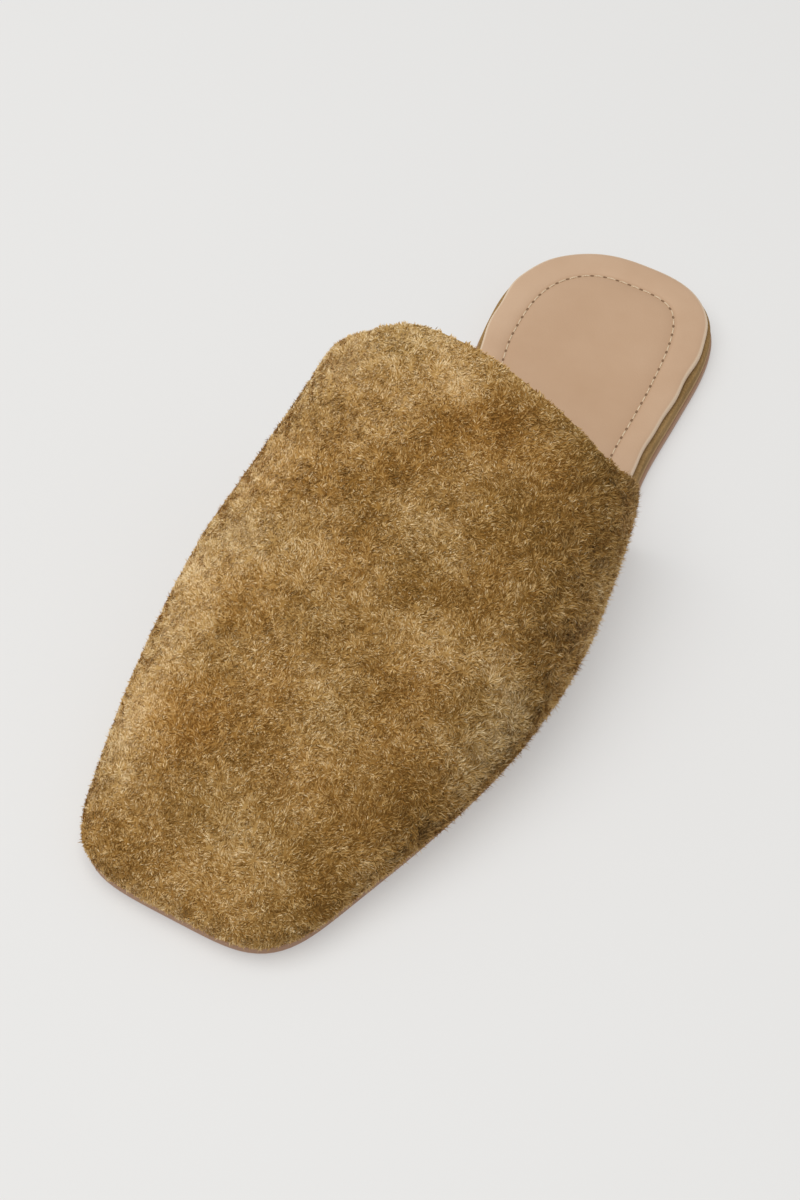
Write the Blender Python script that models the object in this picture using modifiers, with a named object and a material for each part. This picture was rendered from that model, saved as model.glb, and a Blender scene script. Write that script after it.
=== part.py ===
"""Square-toed slipper, left shoe: leather outsole, wrapped footbed, padded insole, one-piece suede upper.

The toe points to -Y, the heel to +Y, the outer side of the foot to +X, and the sole stands on Z = 0.
A station is a share of the footbed's length, 0 at the toe and 1 at the heel.
A turn is a share of the way up the upper's wall, 0 at the feather line and 1 at the crest of the instep.
"""

import math
from collections import namedtuple

import bmesh
import bpy
from mathutils import Vector

# Driving sizes of the last, in metres
FOOTBED_LENGTH = 0.2725
BALL_WIDTH = 0.088
INSTEP_HEIGHT = 0.070

# Thicknesses and clearances, in metres
OUTSOLE_THICKNESS = 0.0028
MIDSOLE_THICKNESS = 0.0037
INSOLE_THICKNESS = 0.0027
UPPER_WALL = 0.0020
CLEARANCE = 0.0003

# How far each layer's edge stands from the feather line, in metres
OUTSOLE_LEDGE = 0.0007
MIDSOLE_INSET = 0.0003
INSOLE_INSET = 0.0006

# Extra room at the insole's edge where the toe of the upper leans in over it, in metres
INSOLE_EASE = 0.0018

# Shape of the sole, in metres
TOE_SPRING = 0.0006
WAIST_LIFT = 0.0008
OUTSOLE_EDGE_ROUND = 0.0006
MIDSOLE_EDGE_ROUND = 0.0005

# Padding of the insole, in metres
PAD_EDGE_ROUND = 0.0010
STITCH_MARGIN = 0.0076
STITCH_CHANNEL_WIDTH = 0.0024
STITCH_CHANNEL_DEPTH = 0.0005
HEEL_STITCH_EXTRA = 0.0034
PAD_DOME = 0.0003
PAD_DOME_MARGIN = 0.0170

# Where the toe spring ends and the waist rises, as stations
SPRING_END = 0.17
WAIST_START = 0.45
WAIST_END = 0.72

# Rounding of the plan's ends: depth as a share of the length, and how square it is
TOE_DEPTH = 0.095
TOE_SQUARENESS = 4.4
HEEL_DEPTH = 0.16
OUTER_HEEL_SQUARENESS = 2.65
INNER_HEEL_SQUARENESS = 2.5

# Station where the heel's edge closes
HEEL_END = 0.9955

# Roundness of the upper's cross-section, across and upwards
SECTION_ACROSS = 2.48
SECTION_UPWARDS = 1.75
BELLY_SHARPNESS = 1.2

# The upper's sections run to a spine that starts behind the toe, as stations
SPINE_START = 0.13
SPINE_SOFTNESS = 0.035

# Stations between the collar's foot and the place where the footbed reaches its full width
COLLAR_GAP = 0.008
MIDSOLE_BLEND = 0.050
INSOLE_BLEND = 0.120

# Where the stitched channel starts to move in from the heel's edge, as a station
HEEL_STITCH_START = 0.74

# Station where the insole no longer needs the extra room
TOE_EASE_END = 0.30

# Mesh counts
OUTLINE_STEPS = 44
UPPER_COLUMNS = 36
UPPER_ROWS = 13
SPINE_WELD = 0.0004

# Half widths of the feather line, as shares of BALL_WIDTH
Outline = namedtuple("Outline", "station outer inner")
OUTLINE = [
    Outline(0.0, 0.3, 0.34),
    Outline(0.1, 0.39, 0.39),
    Outline(0.2, 0.475, 0.435),
    Outline(0.3, 0.535, 0.45),
    Outline(0.4, 0.55, 0.4),
    Outline(0.5, 0.52, 0.325),
    Outline(0.6, 0.465, 0.275),
    Outline(0.7, 0.395, 0.275),
    Outline(0.8, 0.375, 0.355),
    Outline(0.9, 0.365, 0.395),
    Outline(1.0, 0.38, 0.395),
]

# The upper's crest: its height above the floor as a share of INSTEP_HEIGHT, its lean to the inner side
# as a share of BALL_WIDTH, and how far each wall bellies out, as shares of BALL_WIDTH
Crest = namedtuple("Crest", "station height lean outer_belly inner_belly")
CREST = [
    Crest(0.0, 0.18, 0.003, 0.06, 0.055),
    Crest(0.1, 0.345, 0.003, 0.085, 0.1),
    Crest(0.2, 0.495, 0.007, 0.11, 0.13),
    Crest(0.3, 0.65, 0.045, 0.124, 0.155),
    Crest(0.4, 0.795, 0.095, 0.126, 0.182),
    Crest(0.5, 0.945, 0.135, 0.11, 0.22),
    Crest(0.6, 1.09, 0.165, 0.09, 0.25),
]

# Stations of the collar's edge on the outer and inner wall
Collar = namedtuple("Collar", "turn outer inner")
COLLAR = [
    Collar(0.0, 0.62, 0.577),
    Collar(0.25, 0.598, 0.551),
    Collar(0.5, 0.547, 0.527),
    Collar(0.75, 0.537, 0.528),
    Collar(0.9, 0.541, 0.54),
    Collar(1.0, 0.542, 0.542),
]

OUTER = 1
INNER = -1


def read(table, column, place):
    """A column of a table, read smoothly at a place between its rows."""
    places = [row[0] for row in table]
    values = [getattr(row, column) for row in table]
    place = min(max(place, places[0]), places[-1])
    last = len(table) - 1
    low = max(i for i in range(last) if places[i] <= place)
    step = places[low + 1] - places[low]

    def slope(i):
        before = max(i - 1, 0)
        after = min(i + 1, last)
        return (values[after] - values[before]) / (places[after] - places[before])

    t = (place - places[low]) / step
    start = (2 * t**3 - 3 * t**2 + 1) * values[low] + (t**3 - 2 * t**2 + t) * step * slope(low)
    end = (3 * t**2 - 2 * t**3) * values[low + 1] + (t**3 - t**2) * step * slope(low + 1)
    return start + end


def smooth_step(low, high, place):
    """0 below low, 1 above high, and a soft rise between."""
    t = min(max((place - low) / (high - low), 0.0), 1.0)
    return t * t * (3 - 2 * t)


def end_round(share, squareness):
    """A superellipse's half width at a share of its depth."""
    share = min(max(share, 0.0), 1.0)
    return (1 - (1 - share) ** squareness) ** (1 / squareness)


def column_name(side):
    return "outer" if side == OUTER else "inner"


def half_width(station, side):
    """Half width of the feather line on one side, in metres."""
    toe = end_round(station / TOE_DEPTH, TOE_SQUARENESS)
    squareness = OUTER_HEEL_SQUARENESS if side == OUTER else INNER_HEEL_SQUARENESS
    heel = end_round((HEEL_END - station) / HEEL_DEPTH, squareness)
    return BALL_WIDTH * read(OUTLINE, column_name(side), station) * toe * heel


def base_height(station):
    """Rise of the sole's underside above the floor: toe spring and waist."""
    spring = max(SPRING_END - station, 0.0) / SPRING_END
    waist = (station - WAIST_START) / (WAIST_END - WAIST_START)
    lift = math.sin(math.pi * waist) ** 2 if 0 < waist < 1 else 0.0
    return TOE_SPRING * spring**2 + WAIST_LIFT * lift


def y_of(station):
    return (station - 0.5) * FOOTBED_LENGTH


def station_of(y):
    return y / FOOTBED_LENGTH + 0.5


def even_stations(first, last, steps):
    """Stations that lie evenly along the outer feather line, where they crowd together at square ends."""
    fine = 40 * steps
    turns = [math.pi * i / fine for i in range(fine + 1)]
    dense = [first + (last - first) * (1 - math.cos(turn)) / 2 for turn in turns]
    points = [Vector((half_width(s, OUTER), y_of(s))) for s in dense]
    walked = [0.0]
    for before, after in zip(points, points[1:]):
        walked.append(walked[-1] + (after - before).length)
    picked = []
    index = 0
    for i in range(steps + 1):
        goal = walked[-1] * i / steps
        while index < fine and walked[index] < goal:
            index += 1
        picked.append(dense[index])
    picked[0] = first
    picked[-1] = last
    return picked


def outline_ring(stations, inset):
    """The feather line as a closed ring, moved inwards by inset(station).

    It runs from the toe along the outer side to the heel and back along the inner side.
    """
    outer = [Vector((half_width(s, OUTER), y_of(s))) for s in stations]
    inner = [Vector((-half_width(s, INNER), y_of(s))) for s in stations]
    line = outer + inner[-2:0:-1]
    places = stations + stations[-2:0:-1]
    ring = []
    for i, point in enumerate(line):
        along = line[(i + 1) % len(line)] - line[i - 1]
        inwards = Vector((-along.y, along.x)).normalized()
        ring.append(point + inwards * inset(places[i]))
    return ring


def mesh_object(name, mesh, material, collection, parent):
    """An object for a mesh, in the collection, under the parent."""
    mesh.materials.append(material)
    obj = bpy.data.objects.new(name, mesh)
    obj.parent = parent
    collection.objects.link(obj)
    return obj


def layer_mesh(name, rows):
    """A layer of the sole: rings from its underside to its top, closed by a ladder of faces at each end.

    Each row is an inset from the feather line as a function of the station, and a height above base_height.
    """
    stations = even_stations(0.0, HEEL_END, OUTLINE_STEPS)
    bm = bmesh.new()
    rings = []
    for inset, height in rows:
        points = outline_ring(stations, inset)
        rings.append([bm.verts.new((p.x, p.y, base_height(station_of(p.y)) + height)) for p in points])
    count = len(rings[0])
    for lower, upper in zip(rings, rings[1:]):
        for i in range(count):
            after = (i + 1) % count
            bm.faces.new((lower[i], lower[after], upper[after], upper[i]))
    for ring, top in ((rings[0], False), (rings[-1], True)):
        for i in range(count // 2):
            corners = [ring[i], ring[i + 1], ring[-i - 1], ring[-i]]
            corners = list(dict.fromkeys(corners))
            bm.faces.new(corners if top else reversed(corners))
    mesh = bpy.data.meshes.new(name)
    bm.to_mesh(mesh)
    bm.free()
    mesh.shade_smooth()
    mesh.set_sharp_from_angle(angle=math.radians(50))
    return mesh


def inside_upper(free_inset, blend, toe_ease=0.0):
    """An inset that keeps clear of the upper's wall up to the collar, and is free_inset past the blend."""
    start = max(COLLAR[0].outer, COLLAR[0].inner) + COLLAR_GAP
    wall = UPPER_WALL + CLEARANCE

    def inset(station):
        behind = smooth_step(start, start + blend, station)
        toe = 1 - smooth_step(0.0, TOE_EASE_END, station)
        return wall + (free_inset - wall) * behind + toe_ease * toe

    return inset


def outsole_mesh():
    """A flat leather sole that stands a little past the upper, with its edges rounded."""
    edge = OUTSOLE_EDGE_ROUND
    rows = [
        (lambda s: edge - OUTSOLE_LEDGE, 0.0),
        (lambda s: -OUTSOLE_LEDGE, edge),
        (lambda s: -OUTSOLE_LEDGE, OUTSOLE_THICKNESS - edge),
        (lambda s: edge - OUTSOLE_LEDGE, OUTSOLE_THICKNESS),
    ]
    return layer_mesh("outsole", rows)


def midsole_mesh():
    """The wrapped board, inside the upper's wall at the front and near the sole's edge at the back."""
    inset = inside_upper(MIDSOLE_INSET, MIDSOLE_BLEND)
    edge = MIDSOLE_EDGE_ROUND
    bottom = OUTSOLE_THICKNESS + CLEARANCE
    rows = [
        (inset, bottom),
        (inset, bottom + MIDSOLE_THICKNESS - edge),
        (lambda s: inset(s) + edge, bottom + MIDSOLE_THICKNESS),
    ]
    return layer_mesh("midsole", rows)


def insole_mesh():
    """The padded insole: rolled edge, puffed border, stitched channel and domed middle."""
    inset = inside_upper(INSOLE_INSET, INSOLE_BLEND, INSOLE_EASE)
    bottom = OUTSOLE_THICKNESS + MIDSOLE_THICKNESS + 2 * CLEARANCE
    top = bottom + INSOLE_THICKNESS
    rounding = PAD_EDGE_ROUND
    channel = STITCH_CHANNEL_WIDTH / 2
    profile = [
        (0.8 * rounding, bottom),
        (0.2 * rounding, bottom + 0.3 * rounding),
        (0.0, bottom + 0.8 * rounding),
        (0.15 * rounding, top - 0.7 * rounding),
        (0.6 * rounding, top - 0.25 * rounding),
        (1.5 * rounding, top - 0.05 * rounding),
        (STITCH_MARGIN / 2, top),
        (STITCH_MARGIN - channel, top - 0.3 * STITCH_CHANNEL_DEPTH),
        (STITCH_MARGIN, top - STITCH_CHANNEL_DEPTH),
        (STITCH_MARGIN + channel, top - 0.4 * STITCH_CHANNEL_DEPTH),
        (PAD_DOME_MARGIN, top + PAD_DOME),
    ]

    def row_inset(extra):
        share = min(extra / STITCH_MARGIN, 1.0)
        heel = share * HEEL_STITCH_EXTRA
        return lambda s: inset(s) + extra + heel * smooth_step(HEEL_STITCH_START, HEEL_END, s)

    return layer_mesh("insole", [(row_inset(extra), height) for extra, height in profile])


def upper_point(side, station, turn):
    """A point of the upper's outer face.

    Each section starts on the feather line, leans towards the spine and ends on the crest. Near the toe
    the sections fan out from the spine's start, so that they wrap the square toe.
    """
    angle = turn * math.pi / 2
    across = max(math.cos(angle), 0.0) ** (2 / SECTION_ACROSS)
    upwards = math.sin(angle) ** (2 / SECTION_UPWARDS)
    belly = max(math.sin(2 * angle), 0.0) ** BELLY_SHARPNESS
    spine = SPINE_START + SPINE_SOFTNESS * math.log1p(math.exp((station - SPINE_START) / SPINE_SOFTNESS))
    place = spine + (station - spine) * across
    crest_x = -BALL_WIDTH * read(CREST, "lean", spine)
    edge_x = side * half_width(station, side)
    bulge = BALL_WIDTH * read(CREST, column_name(side) + "_belly", station) * belly
    toe_share = end_round(station / TOE_DEPTH, TOE_SQUARENESS)
    forward = BALL_WIDTH * CREST[0].outer_belly * belly * max(1 - station / TOE_DEPTH, 0.0) ** 2
    x = crest_x + (edge_x - crest_x) * across + side * bulge * toe_share
    y = y_of(place) - forward
    foot = base_height(station) + OUTSOLE_THICKNESS + CLEARANCE
    crest = INSTEP_HEIGHT * read(CREST, "height", place)
    return Vector((x, y, foot + (crest - foot) * upwards))


def upper_mesh():
    """The upper's outer face as one open surface, from the toe to the collar."""
    shares = [s / COLLAR[0].outer for s in even_stations(0.0, COLLAR[0].outer, UPPER_COLUMNS)]
    bm = bmesh.new()
    for side in (OUTER, INNER):
        grid = []
        for row in range(UPPER_ROWS + 1):
            turn = row / UPPER_ROWS
            collar = read(COLLAR, column_name(side), turn)
            grid.append([bm.verts.new(upper_point(side, share * collar, turn)) for share in shares])
        for low, high in zip(grid, grid[1:]):
            for i in range(UPPER_COLUMNS):
                corners = [low[i], low[i + 1], high[i + 1], high[i]]
                bm.faces.new(corners if side == OUTER else reversed(corners))
    bmesh.ops.remove_doubles(bm, verts=bm.verts, dist=SPINE_WELD)
    mesh = bpy.data.meshes.new("upper")
    bm.to_mesh(mesh)
    bm.free()
    mesh.shade_smooth()
    return mesh


def add_wall(obj):
    """Gives the open surface its wall, inwards from the outer face."""
    wall = obj.modifiers.new("wall", "SOLIDIFY")
    wall.thickness = UPPER_WALL
    wall.offset = -1
    wall.use_even_offset = True
    wall.use_quality_normals = True


def principled(name, colour, roughness):
    """A plain material with the piece's colour."""
    material = bpy.data.materials.new(name)
    material.use_nodes = True
    shader = material.node_tree.nodes["Principled BSDF"]
    shader.inputs["Base Color"].default_value = (*colour, 1.0)
    shader.inputs["Roughness"].default_value = roughness
    shader.inputs["Metallic"].default_value = 0.0
    return material


def stand_on_origin(root, objects):
    """Moves the shoe so that its box stands centred on the origin."""
    bpy.context.view_layer.update()
    graph = bpy.context.evaluated_depsgraph_get()
    corners = []
    for obj in objects:
        evaluated = obj.evaluated_get(graph)
        corners += [evaluated.matrix_world @ Vector(corner) for corner in evaluated.bound_box]
    low = Vector([min(corner[i] for corner in corners) for i in range(3)])
    high = Vector([max(corner[i] for corner in corners) for i in range(3)])
    root.location = (-(low.x + high.x) / 2, -(low.y + high.y) / 2, -low.z)


def main():
    for obj in list(bpy.data.objects):
        bpy.data.objects.remove(obj, do_unlink=True)
    collection = bpy.data.collections.new("slipper")
    bpy.context.scene.collection.children.link(collection)
    root = bpy.data.objects.new("slipper_origin", None)
    collection.objects.link(root)

    sole_leather = principled("sole_leather", (0.32, 0.19, 0.11), 0.6)
    wrap_suede = principled("wrap_suede", (0.22, 0.14, 0.06), 0.9)
    insole_leather = principled("insole_leather", (0.55, 0.38, 0.25), 0.55)
    upper_suede = principled("upper_suede", (0.33, 0.21, 0.09), 0.95)

    outsole = mesh_object("outsole", outsole_mesh(), sole_leather, collection, root)
    midsole = mesh_object("midsole", midsole_mesh(), wrap_suede, collection, root)
    insole = mesh_object("insole", insole_mesh(), insole_leather, collection, root)
    upper = mesh_object("upper", upper_mesh(), upper_suede, collection, root)
    add_wall(upper)
    stand_on_origin(root, [outsole, midsole, insole, upper])


main()
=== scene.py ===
"""Looks of the square-toed shaggy suede slipper, left shoe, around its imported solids.

The toe points to -Y, the heel to +Y, the outer side of the foot to +X, and the sole stands on Z = 0.
A station is a share of the footbed's length, 0 at the toe and 1 at the heel.
A turn is a share of the way up the upper's wall, 0 at the feather line and 1 at the crest of the instep.
"""

import logging
import math
from dataclasses import dataclass
from enum import Enum
from typing import Callable

import bpy
import numpy as np
from mathutils import Matrix, Vector


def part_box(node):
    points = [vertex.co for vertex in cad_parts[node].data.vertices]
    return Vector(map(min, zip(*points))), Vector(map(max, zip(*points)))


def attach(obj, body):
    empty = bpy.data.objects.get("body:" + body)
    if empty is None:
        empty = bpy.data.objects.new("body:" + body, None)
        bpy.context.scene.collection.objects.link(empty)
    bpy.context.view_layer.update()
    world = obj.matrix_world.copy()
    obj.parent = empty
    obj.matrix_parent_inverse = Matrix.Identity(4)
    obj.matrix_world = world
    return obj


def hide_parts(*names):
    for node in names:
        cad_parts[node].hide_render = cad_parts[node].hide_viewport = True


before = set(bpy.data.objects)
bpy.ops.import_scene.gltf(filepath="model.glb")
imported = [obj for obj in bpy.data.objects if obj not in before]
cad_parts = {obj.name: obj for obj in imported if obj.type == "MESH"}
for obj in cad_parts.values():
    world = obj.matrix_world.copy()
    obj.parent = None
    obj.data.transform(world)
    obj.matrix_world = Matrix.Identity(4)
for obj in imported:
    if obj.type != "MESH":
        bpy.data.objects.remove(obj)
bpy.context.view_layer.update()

MM = 0.001
BODY = "root"
BAKE_MAP = "OFBake"

Colour = tuple[float, float, float]
Stops = tuple[tuple[float, Colour], ...]
Patch = tuple[float, float, float, float, float]
Crease = tuple[float, float, float, float, float, float]
Inset = Callable[[np.ndarray], np.ndarray]
Relief = Callable[[np.ndarray], np.ndarray]

log = logging.getLogger("slipper")


class Side(Enum):
    """The two sides of the left foot, by the sign of X."""

    OUTER = 1
    INNER = -1


class Attribute(Enum):
    """Values that the meshes carry for their finishes.

    The tip value carries painted light: 0 at a fibre's root, in painted shade, to 1 at its tip; on the
    ground under the nap it stays low, for painted shade. On smooth leather it is how strong a painted
    highlight is.
    """

    TONE = "nap_tone"
    TIP = "nap_tip"
    WARMTH = "nap_warmth"
    EDGE = "pale_edge"


def linear(red: float, green: float, blue: float) -> Colour:
    """A colour as the eye reads it, in 255ths, turned into the light values that the shaders use."""
    values = [channel / 255 for channel in (red, green, blue)]
    return tuple(v / 12.92 if v <= 0.04045 else ((v + 0.055) / 1.055) ** 2.4 for v in values)


def smooth_step(low: float, high: float, place: np.ndarray) -> np.ndarray:
    """0 below low, 1 above high, and a soft rise between."""
    t = np.clip((place - low) / (high - low), 0.0, 1.0)
    return t * t * (3 - 2 * t)


def end_round(share: np.ndarray, squareness: float) -> np.ndarray:
    """A superellipse's half width at a share of its depth."""
    return (1 - (1 - np.clip(share, 0.0, 1.0)) ** squareness) ** (1 / squareness)


def unit(vectors: np.ndarray) -> np.ndarray:
    """The vectors made one long, with a vector of no length left as it is."""
    lengths = np.linalg.norm(vectors, axis=-1, keepdims=True)
    return vectors / np.where(lengths < 1e-12, 1.0, lengths)


@dataclass(frozen=True)
class Table:
    """Named columns, read smoothly between their rows by the first column."""

    columns: tuple[str, ...]
    rows: tuple[tuple[float, ...], ...]

    def read(self, column: str, place: np.ndarray) -> np.ndarray:
        """A column at any places.

        Args:
            column: the column's name.
            place: places along the first column.

        Returns:
            The values there.
        """
        values = np.array(self.rows)
        places = values[:, 0]
        heights = values[:, self.columns.index(column)]
        slopes = np.empty_like(heights)
        slopes[1:-1] = (heights[2:] - heights[:-2]) / (places[2:] - places[:-2])
        slopes[0] = (heights[1] - heights[0]) / (places[1] - places[0])
        slopes[-1] = (heights[-1] - heights[-2]) / (places[-1] - places[-2])
        place = np.clip(place, places[0], places[-1])
        low = np.clip(np.searchsorted(places, place, side="right") - 1, 0, len(places) - 2)
        step = places[low + 1] - places[low]
        t = (place - places[low]) / step
        start = (2 * t**3 - 3 * t**2 + 1) * heights[low] + (t**3 - 2 * t**2 + t) * step * slopes[low]
        end = (3 * t**2 - 2 * t**3) * heights[low + 1] + (t**3 - t**2) * step * slopes[low + 1]
        return start + end


@dataclass(frozen=True)
class Last:
    """Sizes and tables of the last, in metres, as the solids have them."""

    footbed_length: float = 0.2725
    ball_width: float = 0.088
    instep_height: float = 0.070
    outsole_thickness: float = 0.0028
    midsole_thickness: float = 0.0037
    insole_thickness: float = 0.0027
    upper_wall: float = 0.0020
    clearance: float = 0.0003
    outsole_ledge: float = 0.0007
    midsole_inset: float = 0.0003
    insole_inset: float = 0.0006
    insole_ease: float = 0.0018
    toe_spring: float = 0.0006
    waist_lift: float = 0.0008
    spring_end: float = 0.17
    waist_start: float = 0.45
    waist_end: float = 0.72
    toe_depth: float = 0.095
    toe_squareness: float = 4.4
    heel_depth: float = 0.16
    outer_heel_squareness: float = 2.65
    inner_heel_squareness: float = 2.5
    heel_end: float = 0.9955
    section_across: float = 2.48
    section_upwards: float = 1.75
    belly_sharpness: float = 1.2
    spine_start: float = 0.13
    spine_softness: float = 0.035
    collar_gap: float = 0.008
    midsole_blend: float = 0.050
    insole_blend: float = 0.120
    toe_ease_end: float = 0.30
    outline: Table = Table(
        ("station", "outer", "inner"),
        (
            (0.0, 0.30, 0.34),
            (0.1, 0.39, 0.39),
            (0.2, 0.475, 0.435),
            (0.3, 0.535, 0.45),
            (0.4, 0.55, 0.40),
            (0.5, 0.52, 0.325),
            (0.6, 0.465, 0.275),
            (0.7, 0.395, 0.275),
            (0.8, 0.375, 0.355),
            (0.9, 0.365, 0.395),
            (1.0, 0.38, 0.395),
        ),
    )
    crest: Table = Table(
        ("station", "height", "lean", "outer_belly", "inner_belly"),
        (
            (0.0, 0.18, 0.003, 0.06, 0.055),
            (0.1, 0.345, 0.003, 0.085, 0.10),
            (0.2, 0.495, 0.007, 0.11, 0.13),
            (0.3, 0.65, 0.045, 0.124, 0.155),
            (0.4, 0.795, 0.095, 0.126, 0.182),
            (0.5, 0.945, 0.135, 0.11, 0.22),
            (0.6, 1.09, 0.165, 0.09, 0.25),
        ),
    )
    collar: Table = Table(
        ("turn", "outer", "inner"),
        (
            (0.0, 0.620, 0.577),
            (0.25, 0.598, 0.551),
            (0.5, 0.547, 0.527),
            (0.75, 0.537, 0.528),
            (0.9, 0.541, 0.54),
            (1.0, 0.542, 0.542),
        ),
    )

    def half_width(self, station: np.ndarray, side: Side) -> np.ndarray:
        """Half width of the feather line on one side.

        Args:
            station: the stations.
            side: the side.

        Returns:
            The half widths in metres.
        """
        toe = end_round(station / self.toe_depth, self.toe_squareness)
        squareness = self.outer_heel_squareness if side is Side.OUTER else self.inner_heel_squareness
        heel = end_round((self.heel_end - station) / self.heel_depth, squareness)
        return self.ball_width * self.outline.read(side.name.lower(), station) * toe * heel

    def base_height(self, station: np.ndarray) -> np.ndarray:
        """Rise of the sole's underside above the floor: toe spring and waist.

        Args:
            station: the stations.

        Returns:
            The rises in metres.
        """
        spring = np.maximum(self.spring_end - station, 0.0) / self.spring_end
        waist = np.clip((station - self.waist_start) / (self.waist_end - self.waist_start), 0.0, 1.0)
        return self.toe_spring * spring**2 + self.waist_lift * np.sin(math.pi * waist) ** 2

    def y_of(self, station: np.ndarray) -> np.ndarray:
        """The Y of a station, from the middle of the footbed."""
        return (station - 0.5) * self.footbed_length

    def station_of(self, y: np.ndarray) -> np.ndarray:
        """The station at a Y."""
        return y / self.footbed_length + 0.5

    def even_stations(self, first: float, last: float, steps: int) -> np.ndarray:
        """Stations that lie evenly along the outer feather line.

        Args:
            first: the first station.
            last: the last station.
            steps: how many steps lie between them.

        Returns:
            The stations, which crowd together at the square ends.
        """
        turns = np.linspace(0.0, math.pi, 40 * steps + 1)
        dense = first + (last - first) * (1 - np.cos(turns)) / 2
        points = np.stack([self.half_width(dense, Side.OUTER), self.y_of(dense)], axis=-1)
        walked = np.concatenate([[0.0], np.cumsum(np.linalg.norm(np.diff(points, axis=0), axis=1))])
        return np.interp(np.linspace(0.0, walked[-1], steps + 1), walked, dense)

    def feather_line(self, steps: int) -> tuple[np.ndarray, np.ndarray, np.ndarray]:
        """The feather line as a closed ring: toe, outer side, heel, inner side.

        Args:
            steps: how many steps lie along each side.

        Returns:
            The ring's points in plan, their stations, and their directions inwards.
        """
        stations = self.even_stations(0.0, self.heel_end, steps)
        outer = np.stack([self.half_width(stations, Side.OUTER), self.y_of(stations)], axis=-1)
        inner = np.stack([-self.half_width(stations, Side.INNER), self.y_of(stations)], axis=-1)
        line = np.concatenate([outer, inner[-2:0:-1]])
        places = np.concatenate([stations, stations[-2:0:-1]])
        along = np.roll(line, -1, axis=0) - np.roll(line, 1, axis=0)
        inwards = unit(np.stack([-along[:, 1], along[:, 0]], axis=-1))
        return line, places, inwards

    def inside_upper(self, free_inset: float, blend: float, toe_ease: float = 0.0) -> Inset:
        """An inset that keeps clear of the upper's wall up to the collar.

        Args:
            free_inset: the inset past the blend.
            blend: the stations over which it changes, from the collar's foot on.
            toe_ease: extra inset at the toe.

        Returns:
            The inset as a function of the station.
        """
        values = np.array(self.collar.rows)
        start = values[0, 1:].max() + self.collar_gap
        wall = self.upper_wall + self.clearance

        def inset(station: np.ndarray) -> np.ndarray:
            """The inset at stations."""
            behind = smooth_step(start, start + blend, station)
            toe = 1 - smooth_step(0.0, self.toe_ease_end, station)
            return wall + (free_inset - wall) * behind + toe_ease * toe

        return inset

    def upper_point(self, side: Side, station: np.ndarray, turn: np.ndarray) -> np.ndarray:
        """Points of the upper's outer face.

        Args:
            side: the wall that the points are on.
            station: where their sections start on the feather line.
            turn: how far up the wall they are.

        Returns:
            The points, with a last axis of three.
        """
        angle = turn * math.pi / 2
        across = np.maximum(np.cos(angle), 0.0) ** (2 / self.section_across)
        upwards = np.sin(angle) ** (2 / self.section_upwards)
        belly = np.maximum(np.sin(2 * angle), 0.0) ** self.belly_sharpness
        softness = self.spine_softness
        spine = self.spine_start + softness * np.logaddexp(0.0, (station - self.spine_start) / softness)
        place = spine + (station - spine) * across
        crest_x = -self.ball_width * self.crest.read("lean", spine)
        edge_x = side.value * self.half_width(station, side)
        bulge = self.ball_width * self.crest.read(side.name.lower() + "_belly", station) * belly
        toe_share = end_round(station / self.toe_depth, self.toe_squareness)
        front = np.maximum(1 - station / self.toe_depth, 0.0) ** 2
        toe_belly = self.crest.rows[0][self.crest.columns.index("outer_belly")]
        forward = self.ball_width * toe_belly * belly * front
        foot = self.base_height(station) + self.outsole_thickness + self.clearance
        crest = self.instep_height * self.crest.read("height", place)
        x = crest_x + (edge_x - crest_x) * across + side.value * bulge * toe_share
        y = self.y_of(place) - forward
        z = foot + (crest - foot) * upwards
        return np.stack([x, y, z], axis=-1)


class SoftNoise:
    """Smooth seeded noise in space, from about -1 to 1."""

    CELLS = 32
    START = 100.0

    def __init__(self, seed: int) -> None:
        """Fills the lattice from the seed."""
        self.lattice = np.random.default_rng(seed).uniform(-1.0, 1.0, (self.CELLS,) * 3)

    def at(self, points: np.ndarray, size: float) -> np.ndarray:
        """The noise at points.

        Args:
            points: places in metres.
            size: the size of its blotches in metres.

        Returns:
            One value a point.
        """
        scaled = points / size + self.START
        low = np.floor(scaled).astype(int)
        t = scaled - low
        t = t * t * (3 - 2 * t)
        total = np.zeros(len(points))
        for dx in (0, 1):
            for dy in (0, 1):
                for dz in (0, 1):
                    corner = self.lattice[
                        (low[:, 0] + dx) % self.CELLS,
                        (low[:, 1] + dy) % self.CELLS,
                        (low[:, 2] + dz) % self.CELLS,
                    ]
                    share = np.abs(1 - dx - t[:, 0]) * np.abs(1 - dy - t[:, 1]) * np.abs(1 - dz - t[:, 2])
                    total += corner * share
        return total


def make_mesh(name: str, points: np.ndarray, faces: list[np.ndarray]) -> bpy.types.Mesh:
    """A mesh from arrays.

    Args:
        name: the mesh's name.
        points: one row of three a vertex.
        faces: arrays of corner indices, each with one row a face.

    Returns:
        The mesh, shaded smooth.
    """
    mesh = bpy.data.meshes.new(name)
    corners = np.concatenate([group.ravel() for group in faces])
    sizes = np.concatenate([np.full(len(group), group.shape[1]) for group in faces])
    starts = np.concatenate([[0], np.cumsum(sizes)[:-1]])
    mesh.vertices.add(len(points))
    mesh.vertices.foreach_set("co", points.astype(np.float32).ravel())
    mesh.loops.add(len(corners))
    mesh.loops.foreach_set("vertex_index", corners.astype(np.int32))
    mesh.polygons.add(len(sizes))
    mesh.polygons.foreach_set("loop_start", starts.astype(np.int32))
    mesh.update(calc_edges=True)
    mesh.shade_smooth()
    return mesh


def set_values(mesh: bpy.types.Mesh, attribute: Attribute, values: np.ndarray) -> None:
    """Stores one value a vertex under the attribute's name."""
    layer = mesh.attributes.new(attribute.value, "FLOAT", "POINT")
    layer.data.foreach_set("value", values.astype(np.float32))


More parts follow.
